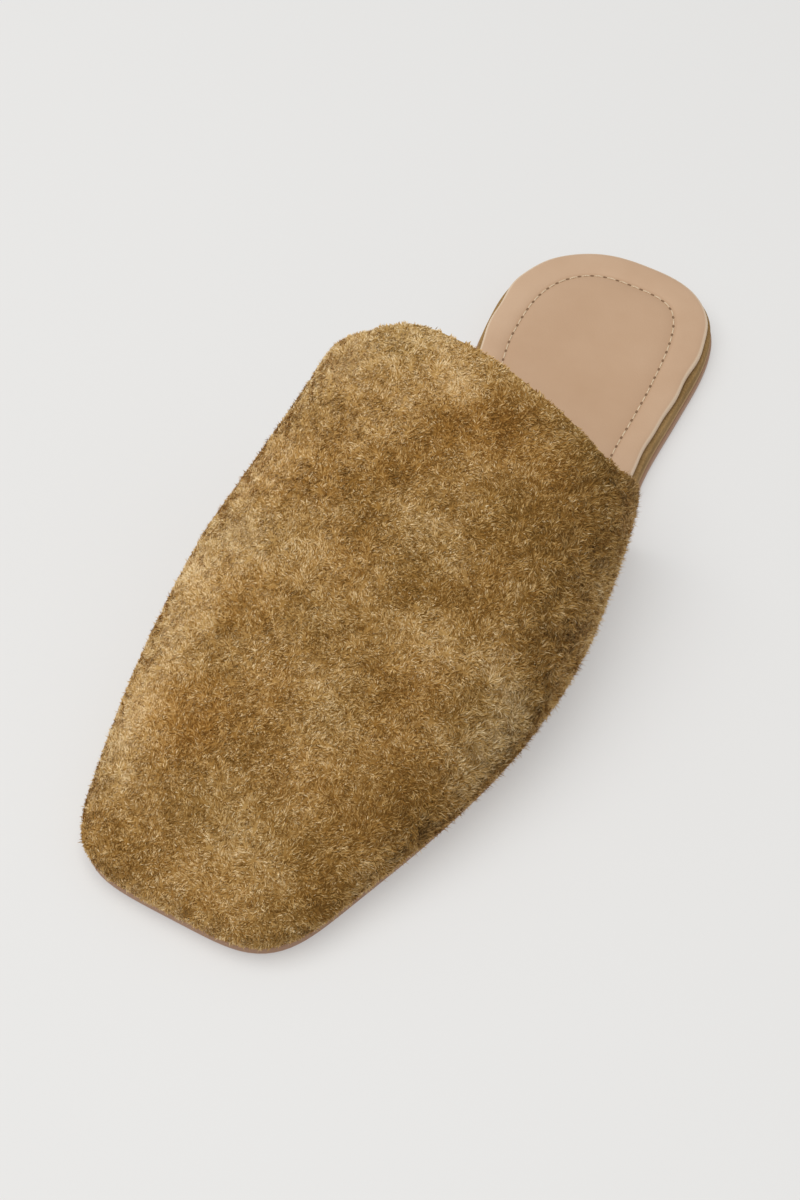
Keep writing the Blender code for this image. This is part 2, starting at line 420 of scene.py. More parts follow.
def place_piece(name: str, mesh: bpy.types.Mesh) -> bpy.types.Object:
    """An object for the mesh, riding on the shoe's one body.

    Args:
        name: the object's name.
        mesh: its mesh.

    Returns:
        The object.
    """
    piece = bpy.data.objects.new(name, mesh)
    bpy.context.scene.collection.objects.link(piece)
    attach(piece, BODY)
    triangles = len(mesh.loops) - 2 * len(mesh.polygons)
    log.info("%s: %d triangles", name, triangles)
    return piece


def vertex_normals(points: np.ndarray, quads: np.ndarray) -> np.ndarray:
    """Outward directions at the vertices of a mesh of quads.

    Args:
        points: one row of three a vertex.
        quads: one row of four corner indices a face.

    Returns:
        One direction a vertex.
    """
    first = points[quads[:, 2]] - points[quads[:, 0]]
    second = points[quads[:, 3]] - points[quads[:, 1]]
    across = np.cross(first, second)
    total = np.zeros_like(points)
    for corner in range(4):
        for axis in range(3):
            total[:, axis] += np.bincount(quads[:, corner], across[:, axis], len(points))
    return unit(total)


class Board:
    """Adds and joins the nodes of one tree."""

    def __init__(self, tree: bpy.types.NodeTree) -> None:
        """Starts on a tree."""
        self.tree = tree
        self.across = 0

    def add(self, kind: str, values: dict[str, object] | None = None, **settings: object) -> bpy.types.Node:
        """Adds a node.

        Args:
            kind: the node's type, without the word ShaderNode at its start.
            values: what each input takes: a plain value, or an output socket to join.
            **settings: the node's own settings.

        Returns:
            The node.
        """
        node = self.tree.nodes.new("ShaderNode" + kind)
        node.location = (180 * self.across, 0)
        self.across += 1
        for name, value in settings.items():
            setattr(node, name, value)
        for name, value in (values or {}).items():
            socket = node.inputs[int(name)] if name.isdigit() else node.inputs[name]
            if isinstance(value, bpy.types.NodeSocket):
                self.tree.links.new(value, socket)
            elif isinstance(value, tuple) and len(value) == 3 and socket.type == "RGBA":
                socket.default_value = (*value, 1.0)
            else:
                socket.default_value = value
        return node

    def mix(self, share: object, first: object, second: object, blend: str = "MIX") -> bpy.types.NodeSocket:
        """Mixes two colours.

        Args:
            share: how much of the second is taken.
            first: the first colour.
            second: the second colour.
            blend: how they are blended.

        Returns:
            The mixed colour.
        """
        node = self.add("Mix", data_type="RGBA", blend_type=blend)
        for index, value in ((0, share), (6, first), (7, second)):
            socket = node.inputs[index]
            if isinstance(value, bpy.types.NodeSocket):
                self.tree.links.new(value, socket)
            elif index == 0:
                socket.default_value = value
            else:
                socket.default_value = (*value, 1.0)
        return node.outputs[2]

    def ramp(self, value: bpy.types.NodeSocket, stops: Stops) -> bpy.types.NodeSocket:
        """Colours a value.

        Args:
            value: the value, from 0 to 1.
            stops: the colours that it takes.

        Returns:
            The colour.
        """
        node = self.add("ValToRGB", {"Fac": value})
        elements = node.color_ramp.elements
        elements[0].position = stops[0][0]
        elements[0].color = (*stops[0][1], 1.0)
        elements[1].position = stops[-1][0]
        elements[1].color = (*stops[-1][1], 1.0)
        for place, colour in stops[1:-1]:
            element = elements.new(place)
            element.color = (*colour, 1.0)
        return node.outputs["Color"]

    def math(self, operation: str, first: object, second: object = 0.0) -> bpy.types.NodeSocket:
        """One sum of two values."""
        return self.add("Math", {"0": first, "1": second}, operation=operation).outputs[0]


class Effects:
    """Shader node groups that more than one finish uses, each built once."""

    def __init__(self) -> None:
        """Builds the groups."""
        self.mottle = self.build_mottle()
        self.grain = self.build_grain()

    @staticmethod
    def group(
        name: str, inputs: dict[str, tuple[str, object]], outputs: dict[str, str]
    ) -> bpy.types.NodeTree:
        """An empty group.

        Args:
            name: its name.
            inputs: each input's socket type and value.
            outputs: each output's socket type.

        Returns:
            The group's tree.
        """
        tree = bpy.data.node_groups.new(name, "ShaderNodeTree")
        for label, (kind, value) in inputs.items():
            socket = tree.interface.new_socket(label, in_out="INPUT", socket_type=kind)
            socket.default_value = value
        for label, kind in outputs.items():
            tree.interface.new_socket(label, in_out="OUTPUT", socket_type=kind)
        return tree

    def build_mottle(self) -> bpy.types.NodeTree:
        """Soft blotches and fine flecks of a napped leather, as a mask about one half.

        Returns:
            The group's tree.
        """
        tree = self.group(
            "napped_mottle",
            {
                "Blotch Scale": ("NodeSocketFloat", 90.0),
                "Fleck Scale": ("NodeSocketFloat", 900.0),
                "Fleck Share": ("NodeSocketFloat", 0.5),
            },
            {"Mask": "NodeSocketFloat"},
        )
        board = Board(tree)
        taken = tree.nodes.new("NodeGroupInput").outputs
        place = board.add("TexCoord").outputs["Object"]
        blotches = board.add("TexNoise", {"Vector": place, "Scale": taken["Blotch Scale"], "Detail": 3.0})
        flecks = board.add("TexNoise", {"Vector": place, "Scale": taken["Fleck Scale"], "Detail": 2.0})
        mask = board.add(
            "Mix",
            {"0": taken["Fleck Share"], "2": blotches.outputs["Fac"], "3": flecks.outputs["Fac"]},
            data_type="FLOAT",
        )
        sent = tree.nodes.new("NodeGroupOutput")
        tree.links.new(mask.outputs[0], sent.inputs["Mask"])
        return tree

    def build_grain(self) -> bpy.types.NodeTree:
        """The fine pores and creases of smooth leather, as a height and as a mask of its shade.

        Returns:
            The group's tree.
        """
        tree = self.group(
            "leather_grain",
            {"Pore Scale": ("NodeSocketFloat", 1400.0), "Crease Share": ("NodeSocketFloat", 0.4)},
            {"Height": "NodeSocketFloat", "Shade": "NodeSocketFloat"},
        )
        board = Board(tree)
        taken = tree.nodes.new("NodeGroupInput")
        place = board.add("TexCoord").outputs["Object"]
        pores = board.add(
            "TexVoronoi", {"Vector": place, "Scale": taken.outputs["Pore Scale"], "Randomness": 0.9}
        )
        creases = board.add("TexNoise", {"Vector": place, "Scale": 260.0, "Detail": 5.0, "Roughness": 0.6})
        height = board.add(
            "Mix",
            {
                "0": taken.outputs["Crease Share"],
                "2": pores.outputs["Distance"],
                "3": creases.outputs["Fac"],
            },
            data_type="FLOAT",
        )
        shade = board.add("TexNoise", {"Vector": place, "Scale": 28.0, "Detail": 4.0, "Roughness": 0.55})
        sent = tree.nodes.new("NodeGroupOutput")
        tree.links.new(height.outputs[0], sent.inputs["Height"])
        tree.links.new(shade.outputs["Fac"], sent.inputs["Shade"])
        return tree


def new_material(name: str) -> tuple[bpy.types.Material, Board, bpy.types.Node]:
    """A new material.

    Args:
        name: its name.

    Returns:
        The material, its board and its Principled shader.
    """
    material = bpy.data.materials.new(name)
    material.use_nodes = True
    return material, Board(material.node_tree), material.node_tree.nodes["Principled BSDF"]


def colour_shader(
    board: Board, shader: bpy.types.Node, colour: bpy.types.NodeSocket, roughness: float, specular: float
) -> None:
    """Joins a colour to a shader and sets its gloss.

    Args:
        board: the material's board.
        shader: its Principled shader.
        colour: the colour.
        roughness: the shader's roughness.
        specular: the shader's specular level.
    """
    board.tree.links.new(colour, shader.inputs["Base Color"])
    shader.inputs["Roughness"].default_value = roughness
    shader.inputs["Specular IOR Level"].default_value = specular


def emboss(
    board: Board, shader: bpy.types.Node, height: bpy.types.NodeSocket, depth: float, strength: float
) -> None:
    """Joins a height to a shader as its bump.

    Args:
        board: the material's board.
        shader: its Principled shader.
        height: the height, from 0 to 1.
        depth: the bump's depth in metres.
        strength: how strongly it shows.
    """
    bump = board.add("Bump", {"Height": height, "Distance": depth, "Strength": strength})
    board.tree.links.new(bump.outputs["Normal"], shader.inputs["Normal"])


@dataclass(frozen=True)
class SmoothLeather:
    """Natural smooth leather: soft shade changes, fine pores, a low gloss.

    The mesh's edge value turns it to the edge colour, which on the insole is painted shade, and its tip
    value to a pale colour, a painted highlight on the insole's rolled edge.
    """

    name: str
    light: Colour
    dark: Colour
    edge: Colour
    # Pale colour of a painted highlight on a rolled edge
    pale_rim: Colour = linear(226, 203, 176)
    shade_ends: tuple[float, float] = (0.32, 0.68)
    roughness: float = 0.55
    specular: float = 0.35
    pore_scale: float = 1400.0
    grain_depth: float = 0.00006
    grain_strength: float = 0.6

    def material(self, effects: Effects) -> bpy.types.Material:
        """The finish as a material.

        Args:
            effects: the shared node groups.

        Returns:
            The material.
        """
        material, board, shader = new_material(self.name)
        grain = board.add("Group", node_tree=effects.grain)
        grain.inputs["Pore Scale"].default_value = self.pore_scale
        colour = board.ramp(grain.outputs["Shade"], tuple(zip(self.shade_ends, (self.dark, self.light))))
        for attribute, tint in ((Attribute.EDGE, self.edge), (Attribute.TIP, self.pale_rim)):
            share = board.add("Attribute", attribute_name=attribute.value)
            colour = board.mix(share.outputs["Fac"], colour, tint)
        emboss(board, shader, grain.outputs["Height"], self.grain_depth, self.grain_strength)
        colour_shader(board, shader, colour, self.roughness, self.specular)
        return material


@dataclass(frozen=True)
class ShortNap:
    """Napped leather whose fibres are too short to stand out: the footbed's wrap and the raw edge of the
    upper.
    """

    name: str
    dark: Colour
    light: Colour
    edge: Colour
    shade_ends: tuple[float, float] = (0.36, 0.64)
    roughness: float = 0.92
    specular: float = 0.15
    fleck_scale: float = 1500.0
    nap_depth: float = 0.00025
    nap_strength: float = 0.8

    def material(self, effects: Effects) -> bpy.types.Material:
        """The finish as a material.

        Args:
            effects: the shared node groups.

        Returns:
            The material.
        """
        material, board, shader = new_material(self.name)
        mottle = board.add("Group", node_tree=effects.mottle)
        mottle.inputs["Fleck Scale"].default_value = self.fleck_scale
        shade = board.ramp(mottle.outputs["Mask"], tuple(zip(self.shade_ends, (self.dark, self.light))))
        edge = board.add("Attribute", attribute_name=Attribute.EDGE.value)
        colour = board.mix(edge.outputs["Fac"], shade, self.edge)
        emboss(board, shader, mottle.outputs["Mask"], self.nap_depth, self.nap_strength)
        colour_shader(board, shader, colour, self.roughness, self.specular)
        return material


@dataclass(frozen=True)
class LongNap:
    """The shaggy suede's fibres and their ground: tone, warmth and painted shade at the root come from the
    mesh.
    """

    name: str
    cool_stops: Stops
    warm_stops: Stops
    # Painted shade at the fibres' roots, where they shade each other
    root_painted_shade: Colour = (0.72, 0.72, 0.6768)
    blotch_scale: float = 420.0
    fleck_scale: float = 1600.0
    stir: float = 0.24
    roughness: float = 0.85
    specular: float = 0.1
    sheen: float = 0.35
    sheen_roughness: float = 0.45
    sheen_tint: Colour = linear(232, 196, 138)

    def material(self, effects: Effects) -> bpy.types.Material:
        """The finish as a material.

        Args:
            effects: the shared node groups.

        Returns:
            The material.
        """
        material, board, shader = new_material(self.name)
        mottle = board.add("Group", node_tree=effects.mottle)
        mottle.inputs["Blotch Scale"].default_value = self.blotch_scale
        mottle.inputs["Fleck Scale"].default_value = self.fleck_scale
        tone = board.add("Attribute", attribute_name=Attribute.TONE.value).outputs["Fac"]
        stir = board.math("MULTIPLY_ADD", mottle.outputs["Mask"], self.stir)
        stir.node.inputs[2].default_value = -self.stir / 2
        stirred = board.math("ADD", tone, stir)
        cool = board.ramp(stirred, self.cool_stops)
        warm = board.ramp(stirred, self.warm_stops)
        warmth = board.add("Attribute", attribute_name=Attribute.WARMTH.value).outputs["Fac"]
        colour = board.mix(warmth, cool, warm)
        # Each fibre is darkened towards its root: painted shade
        tip = board.add("Attribute", attribute_name=Attribute.TIP.value).outputs["Fac"]
        shade = board.ramp(tip, ((0.0, self.root_painted_shade), (1.0, (1.0, 1.0, 1.0))))
        shaded = board.mix(1.0, colour, shade, "MULTIPLY")
        colour_shader(board, shader, shaded, self.roughness, self.specular)
        shader.inputs["Sheen Weight"].default_value = self.sheen
        shader.inputs["Sheen Roughness"].default_value = self.sheen_roughness
        shader.inputs["Sheen Tint"].default_value = (*self.sheen_tint, 1.0)
        return material


@dataclass(frozen=True)
class Thread:
    """Waxed stitching thread with a fine twist."""

    name: str
    colour: Colour
    shadow: Colour
    twist_scale: float = 2600.0
    roughness: float = 0.6
    specular: float = 0.5

    def material(self) -> bpy.types.Material:
        """The finish as a material.

        Returns:
            The material.
        """
        material, board, shader = new_material(self.name)
        place = board.add("TexCoord").outputs["Object"]
        twist = board.add("TexNoise", {"Vector": place, "Scale": self.twist_scale, "Detail": 1.0})
        colour = board.ramp(twist.outputs["Fac"], ((0.35, self.shadow), (0.6, self.colour)))
        colour_shader(board, shader, colour, self.roughness, self.specular)
        return material


@dataclass(frozen=True)
class BottomLayers:
    """Builds the bottom's layers: rings from the underside to the top, closed by a grid at each end."""

    last: Last
    shift: np.ndarray
    steps: int = 160
    across: int = 24

    def build(
        self, name: str, rows: list[tuple[Inset, float]], relief: Relief | None = None
    ) -> tuple[bpy.types.Mesh, np.ndarray]:
        """One layer of the bottom.

        Args:
            name: the mesh's name.
            rows: an inset from the feather line and a height above the sole's underside for each ring.
            relief: extra height of the top, by its points.

        Returns:
            The mesh, and the ring that each vertex is on, where a grid counts as its ring.
        """
        line, places, inwards = self.last.feather_line(self.steps)
        count = len(line)
        points = []
        for inset, height in rows:
            plan = line + inwards * inset(places)[:, None]
            base = self.last.base_height(self.last.station_of(plan[:, 1]))
            points.append(np.column_stack([plan, base + height]))
        around = np.arange(count)
        after = (around + 1) % count
        faces = []
        for ring in range(len(rows) - 1):
            low = ring * count
            high = low + count
            faces.append(np.stack([low + around, low + after, high + after, high + around], axis=-1))
        ring_of = [np.full(count, ring) for ring in range(len(rows))]
        start = len(rows) * count
        for ring, top in ((0, False), (len(rows) - 1, True)):
            inside, grid_faces = self.close(points[ring], ring * count, start, top)
            points.append(inside)
            faces += grid_faces
            ring_of.append(np.full(len(inside), ring))
            start += len(inside)
        joined = np.concatenate(points)
        ring_of = np.concatenate(ring_of)
        if relief is not None:
            joined[:, 2] += relief(joined) * (ring_of > len(rows) // 2)
        return make_mesh(name, joined + self.shift, faces), ring_of

    def close(
        self, ring: np.ndarray, first: int, start: int, top: bool
    ) -> tuple[np.ndarray, list[np.ndarray]]:
        """A grid of faces across a ring.

        Args:
            ring: the ring's points.
            first: the index of its first vertex.
            start: the index of the grid's first own vertex.
            top: whether the grid faces up.

        Returns:
            The grid's own points and its faces.
        """
        steps = self.steps
        outer = ring[1:steps]
        inner = ring[:steps:-1]
        shares = np.arange(1, self.across) / self.across
        inside = outer[:, None, :] + (inner - outer)[:, None, :] * shares[None, :, None]
        width = self.across - 1
        index = np.empty((steps - 1, self.across + 1), int)
        index[:, 0] = first + np.arange(1, steps)
        index[:, -1] = first + len(ring) - np.arange(1, steps)
        index[:, 1:-1] = start + np.arange((steps - 1) * width).reshape(steps - 1, width)
        quads = np.stack([index[:-1, :-1], index[1:, :-1], index[1:, 1:], index[:-1, 1:]], axis=-1)
        toe = np.full(self.across, first)
        heel = np.full(self.across, first + steps)
        fans = np.concatenate(
            [
                np.stack([toe, index[0, :-1], index[0, 1:]], axis=-1),
                np.stack([heel, index[-1, 1:], index[-1, :-1]], axis=-1),
            ]
        )
        groups = [quads.reshape(-1, 4), fans]
        return inside.reshape(-1, 3), groups if top else [group[:, ::-1] for group in groups]


@dataclass(frozen=True)
class LeatherSole:
    """The thin leather sole with its burnished, rounded edge."""

    layers: BottomLayers
    edge_round: float = 0.0007
    arc_steps: int = 4

    def build(self, leather: bpy.types.Material) -> bpy.types.Object:
        """The sole.

        Args:
            leather: its finish.

        Returns:
            The piece.
        """
        last = self.layers.last
        rows = []
        for top in (False, True):
            for step in range(self.arc_steps + 1):
                share = step / self.arc_steps
                angle = math.pi / 2 * (1 - share if top else share)
                inset = self.edge_round * (1 - math.sin(angle)) - last.outsole_ledge
                height = self.edge_round * (1 - math.cos(angle))
                level = last.outsole_thickness - height if top else height
                rows.append((lambda place, inset=inset: np.full_like(place, inset), level))
        mesh, ring_of = self.layers.build("leather_sole", rows)
        on_edge = (ring_of > 0) & (ring_of < len(rows) - 1)
        set_values(mesh, Attribute.EDGE, on_edge.astype(float))
        mesh.materials.append(leather)
        piece = place_piece("leather_sole", mesh)
        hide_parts("outsole")
        return piece


@dataclass(frozen=True)
class FootbedWrap:
    """The suede-wrapped board between sole and insole, with the pale fold at its foot.

    A row of fold is how far out and how high a ring lies, in shares of the fold's bulge and height. A row
    of above_fold is how far in it lies, in metres, and how high, as a share of the fold's height.
    """

    layers: BottomLayers
    foot_inset: float = 0.0003
    fold_height: float = 0.0007
    fold_bulge: float = 0.00045
    fold: tuple[tuple[float, float], ...] = ((-0.6, 0.12), (-1.0, 0.45), (-0.7, 0.8))
    above_fold: tuple[tuple[float, float], ...] = ((0.00010, 1.05), (0.00002, 1.5))
    edge_round: float = 0.0005

    def build(self, suede: bpy.types.Material) -> bpy.types.Object:
        """The wrap.

        Args:
            suede: its finish.

        Returns:
            The piece.
        """
        last = self.layers.last
        inset = last.inside_upper(last.midsole_inset, last.midsole_blend)
        bottom = last.outsole_thickness + last.clearance
        top = bottom + last.midsole_thickness
        profile = [
            (self.foot_inset, bottom),
            *((out * self.fold_bulge, bottom + rise * self.fold_height) for out, rise in self.fold),
            *((inwards, bottom + rise * self.fold_height) for inwards, rise in self.above_fold),
            (0.0, (bottom + top) / 2),
            (0.0, top - self.edge_round),
            (0.3 * self.edge_round, top - 0.3 * self.edge_round),
            (self.edge_round, top),
        ]
        rows = [(lambda place, extra=extra: inset(place) + extra, height) for extra, height in profile]
        mesh, ring_of = self.layers.build("footbed_wrap", rows)
        on_fold = (ring_of > 0) & (ring_of <= len(self.fold))
        set_values(mesh, Attribute.EDGE, on_fold.astype(float))
        mesh.materials.append(suede)
        piece = place_piece("footbed_wrap", mesh)
        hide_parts("midsole")
        return piece


@dataclass(frozen=True)
class PaddedInsole:
    """The leather sock over its foam: rolled edge, puffed border, stitched channel, domed middle.

    A row of dents is a size and a depth in metres, and a row of waves a rate along the edge and a start.
    The shades are the edge value of the underside, of the channel and of the middle: painted shade under
    the edge and in the channel, and a darker middle.
    """

    layers: BottomLayers
    noise: SoftNoise
    edge_round: float = 0.0010
    stitch_margin: float = 0.0076
    heel_extra: float = 0.0034
    heel_start: float = 0.74
    channel_depth: float = 0.0005
    border_puff: float = 0.00012
    dome: float = 0.0003
    dents: tuple[tuple[float, float], ...] = ((0.019, 0.00012), (0.009, 0.00006))
    waviness: float = 0.00018
    waves: tuple[tuple[float, float], ...] = ((61.0, 0.0), (97.0, 1.0))
    wave_start: float = 0.64
    free_trim: float = 0.0009
    under_rings: int = 3
    rim_rings: tuple[int, ...] = (4, 5, 6)
    channel_rings: tuple[int, ...] = (14, 15, 16)
    ring_shades: tuple[float, float, float] = (0.6, 0.45, 0.3)
    # Painted highlight along the top of the rolled edge
    rim_painted_highlight: float = 0.8

    def ring_inset(self, extra: float) -> Inset:
        """How far in from the feather line a ring lies that is this far inside the insole's edge.

        Args:
            extra: the ring's distance from the edge; towards the heel's end it grows.

        Returns:
            The inset as a function of the station.
        """
        last = self.layers.last
        edge = last.inside_upper(last.insole_inset, last.insole_blend, last.insole_ease)
        share = min(extra / self.stitch_margin, 1.0)
        end = last.heel_end

        def inset(station: np.ndarray) -> np.ndarray:
            """The inset at stations, a little wavy at the cut edge."""
            heel = share * self.heel_extra * smooth_step(self.heel_start, end, station)
            wave = sum(np.sin(rate * station + start) for rate, start in self.waves)
            wave = wave * self.waviness * (1 - share)
            free = smooth_step(self.wave_start, self.heel_start, station)
            return edge(station) + extra + heel + (wave + self.free_trim) * free

        return inset

    @property
    def bottom(self) -> float:
        """The underside's height above the sole's underside."""
        last = self.layers.last
        return last.outsole_thickness + last.midsole_thickness + 2 * last.clearance

    @property
    def top(self) -> float:
        """The top's height above the sole's underside, without its puff and dome."""
        return self.bottom + self.layers.last.insole_thickness

    def relief(self, points: np.ndarray) -> np.ndarray:
        """Shallow dents and swells of the leather over its foam."""
        return sum(depth * self.noise.at(points, size) for size, depth in self.dents)

    def profile(self) -> list[tuple[float, float]]:
        """The section of the edge: underside, rolled edge, puffed border, channel and dome.

        Returns:
            How far in and how high each ring lies, from the underside's edge to the dome.
        """
        bottom = self.bottom
        top = self.top
        rounding = self.edge_round
        margin = self.stitch_margin
        depth = self.channel_depth
        puff = self.border_puff
        return [
            (0.8 * rounding, bottom),
            (0.35 * rounding, bottom + 0.12 * rounding),
            (0.12 * rounding, bottom + 0.4 * rounding),
            (0.0, bottom + 0.8 * rounding),
            (0.03 * rounding, top - 1.0 * rounding),
            (0.15 * rounding, top - 0.65 * rounding),
            (0.4 * rounding, top - 0.36 * rounding),
            (0.8 * rounding, top - 0.15 * rounding),
            (1.5 * rounding, top + 0.2 * puff),
            (0.32 * margin, top + 0.75 * puff),
            (0.48 * margin, top + puff),
            (0.64 * margin, top + 0.8 * puff),
            (0.78 * margin, top + 0.1 * puff),
            (0.88 * margin, top - 0.45 * depth),
            (0.94 * margin, top - 0.8 * depth),
            (margin, top - depth),
            (1.06 * margin, top - 0.82 * depth),
            (1.13 * margin, top - 0.5 * depth),
            (1.24 * margin, top - 0.1 * depth),
            (1.42 * margin, top + 0.45 * self.dome),
            (1.7 * margin, top + 0.8 * self.dome),
            (2.0 * margin, top + self.dome),
        ]

    def build(self, leather: bpy.types.Material) -> bpy.types.Object:
        """The insole.

        Args:
            leather: its finish.

        Returns:
            The piece.
        """
        rows = [(self.ring_inset(extra), height) for extra, height in self.profile()]
        mesh, ring_of = self.layers.build("padded_insole", rows, self.relief)
        under = ring_of < self.under_rings
        channel = np.isin(ring_of, self.channel_rings)
        middle = ring_of > self.channel_rings[-1]
        # Painted shade under the edge and in the stitch channel, and a darker middle
        set_values(mesh, Attribute.EDGE, np.select([under, channel, middle], self.ring_shades, 0.0))
        # Painted highlight on the rolled edge's top rings
        set_values(mesh, Attribute.TIP, np.isin(ring_of, self.rim_rings) * self.rim_painted_highlight)
        mesh.materials.append(leather)
        piece = place_piece("padded_insole", mesh)
        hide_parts("insole")
        return piece


@dataclass(frozen=True)
class InsoleStitching:
    """The row of stitches in the insole's channel, with the needle holes between them."""

    insole: PaddedInsole
    pitch: float = 0.0040
    thread_radius: float = 0.00027
    thread_length: float = 0.0029
    hole_length: float = 0.0013
    hole_width: float = 0.0008
    rise: float = 0.00022
    sink: float = 0.00006
    thread_taper: float = 0.72
    thread_flatness: float = 0.8
    hole_rise: float = 0.00009
    hole_floor: float = 0.00003
    line_steps: int = 600
    sides: int = 6
    beads: int = 6
    hole_sides: int = 10

    def line(self) -> tuple[np.ndarray, np.ndarray, int]:
        """The channel's middle at even steps of the pitch.

        Returns:
            The points, the directions along the line, and how many stitches there are.
        """
        layers = self.insole.layers
        line, places, inwards = layers.last.feather_line(self.line_steps)
        inset = self.insole.ring_inset(self.insole.stitch_margin)(places)
        plan = line + inwards * inset[:, None]
        closed = np.concatenate([plan, plan[:1]])
        walked = np.concatenate([[0.0], np.cumsum(np.linalg.norm(np.diff(closed, axis=0), axis=1))])
        count = round(walked[-1] / self.pitch)
        fine = np.linspace(0.0, walked[-1], count * self.beads * 2 + 1)[:-1]
        x = np.interp(fine, walked, closed[:, 0])
        y = np.interp(fine, walked, closed[:, 1])
        base = layers.last.base_height(layers.last.station_of(y))
        points = np.stack([x, y, base + self.insole.top - self.insole.channel_depth], axis=-1)
        points[:, 2] += self.insole.relief(points)
        along = unit(np.roll(points, -1, axis=0) - np.roll(points, 1, axis=0))
        return points, along, count

    def build(self, thread: bpy.types.Material, hole: bpy.types.Material) -> list[bpy.types.Object]:
        """The thread and the holes, as one piece each.

        Args:
            thread: the thread's finish.
            hole: the holes' finish.

        Returns:
            The two pieces.
        """
        points, along, count = self.line()
        spots = np.arange(count) * self.beads * 2
        halfway = spots + self.beads
        return [
            self.build_thread(points[spots], along[spots], thread),
            self.build_holes(points[halfway], along[halfway], hole),
        ]

    def build_thread(
        self, centres: np.ndarray, along: np.ndarray, thread: bpy.types.Material
    ) -> bpy.types.Object:
        """Short arched lengths of thread, whose ends sink into the leather.

        Args:
            centres: the stitches' middles.
            along: their directions.
            thread: their finish.

        Returns:
            The piece.
        """
        up = np.array([0.0, 0.0, 1.0])
        across = unit(np.cross(up, along))
        shares = np.linspace(-1.0, 1.0, self.beads + 1)
        turns = np.arange(self.sides) * 2 * math.pi / self.sides
        spine = (
            centres[:, None, :]
            + along[:, None, :] * (shares * self.thread_length / 2)[None, :, None]
            + up * (self.rise * (1 - shares**2) - self.sink)[None, :, None]
        )
        width = (self.thread_radius * np.sqrt(1 - self.thread_taper * shares**2))[None, :, None, None]
        rings = (
            spine[:, :, None, :]
            + across[:, None, None, :] * (np.cos(turns)[None, None, :, None] * width)
            + up * (np.sin(turns)[None, None, :, None] * width * self.thread_flatness)
        )
        stitches = len(centres)
        index = np.arange(rings[..., 0].size).reshape(stitches, self.beads + 1, self.sides)
        after = np.roll(index, -1, axis=2)
        quads = np.stack([index[:, :-1], after[:, :-1], after[:, 1:], index[:, 1:]], axis=-1).reshape(-1, 4)
        ends = np.concatenate([index[:, 0, ::-1], index[:, -1]])
        mesh = make_mesh("insole_stitches", rings.reshape(-1, 3) + self.insole.layers.shift, [quads, ends])
        mesh.materials.append(thread)
        return place_piece("insole_stitches", mesh)

    def build_holes(
        self, centres: np.ndarray, along: np.ndarray, hole: bpy.types.Material
    ) -> bpy.types.Object:
        """Small dimples where the needle went through, coloured dark: painted shade in the holes.

        Args:
            centres: the holes' middles.
            along: the directions of the stitch line there.
            hole: their finish.

        Returns:
            The piece.
        """
        up = np.array([0.0, 0.0, 1.0])
        across = unit(np.cross(up, along))
        sides = self.hole_sides
        turns = np.arange(sides) * 2 * math.pi / sides
        rim = (
            centres[:, None, :]
            + along[:, None, :] * (np.cos(turns) * self.hole_length / 2)[None, :, None]
            + across[:, None, :] * (np.sin(turns) * self.hole_width / 2)[None, :, None]
            + up * self.hole_rise
        )
        middle = centres[:, None, :] + up * self.hole_floor
        points = np.concatenate([rim, middle], axis=1)
        index = np.arange(points[..., 0].size).reshape(len(centres), sides + 1)
        around = index[:, :sides]
        centre = np.repeat(index[:, sides:], sides, axis=1)
        faces = np.stack([around, np.roll(around, -1, axis=1), centre], axis=-1)
        mesh = make_mesh(
            "insole_needle_holes", points.reshape(-1, 3) + self.insole.layers.shift, [faces.reshape(-1, 3)]
        )
        mesh.materials.append(hole)
        return place_piece("insole_needle_holes", mesh)


@dataclass(frozen=True)
class WallFace:
    """One wall of the upper as a grid: rows up the wall, columns from the toe to the collar.

    Flat is the place on the unrolled wall, and borders the distances to the collar and to the feather line.
    """

    points: np.ndarray
    normals: np.ndarray
    flat: np.ndarray
    borders: np.ndarray


@dataclass(frozen=True)
class SuedeTones:
    """Where the suede is dark, pale or warm, by listed patches and seeded noise.

    A stir is a start in the noise, the size of its blotches in metres, and its weight. The paler inner wall
    and some pale patches are painted light.
    """

    noise: SoftNoise
    patches: tuple[Patch, ...]
    warm_patches: tuple[Patch, ...]
    middle: float = 0.43
    reach_of_patches: float = 0.26
    # The inner wall is made paler: painted light
    inner_wall_painted_paleness: float = 0.10
    inner_wall_rise: tuple[float, float] = (0.020, 0.038)
    stirs: tuple[tuple[float, float, float], ...] = ((0.0, 0.011, 0.10), (0.5, 0.0045, 0.08))
    middle_warmth: float = 0.45
    warm_stir: tuple[float, float, float] = (0.9, 0.016, 0.35)

    @staticmethod
    def spread(points: np.ndarray, patches: tuple[Patch, ...]) -> np.ndarray:
        """The patches' sum at points.

        Args:
            points: places in metres.
            patches: each patch's middle and reach in millimetres, and its weight.

        Returns:
            One value a point.
        """
        total = np.zeros(len(points))
        for x, y, z, reach, weight in patches:
            away = ((points - np.array([x, y, z]) * MM) ** 2).sum(axis=1)
            total += weight * np.exp(-away / (reach * MM) ** 2)
        return total

    def tone(self, points: np.ndarray) -> np.ndarray:
        """How pale the suede is, with painted light on the inner wall and in some pale patches.

        Args:
            points: places in metres.

        Returns:
            One value a point, from 0 to 1.
        """
        stir = sum(self.noise.at(points + start, size) * weight for start, size, weight in self.stirs)
        placed = np.tanh(self.spread(points, self.patches)) * self.reach_of_patches
        inner_wall = self.inner_wall_painted_paleness * smooth_step(*self.inner_wall_rise, -points[:, 0])
        return np.clip(self.middle + placed + stir + inner_wall, 0.0, 1.0)

    def warmth(self, points: np.ndarray) -> np.ndarray:
        """How orange the suede is.

        Args:
            points: places in metres.

        Returns:
            One value a point, from 0 to 1.
        """
        start, size, weight = self.warm_stir
        stir = self.noise.at(points + start, size) * weight
        return np.clip(self.middle_warmth + stir + self.spread(points, self.warm_patches), 0.0, 1.0)


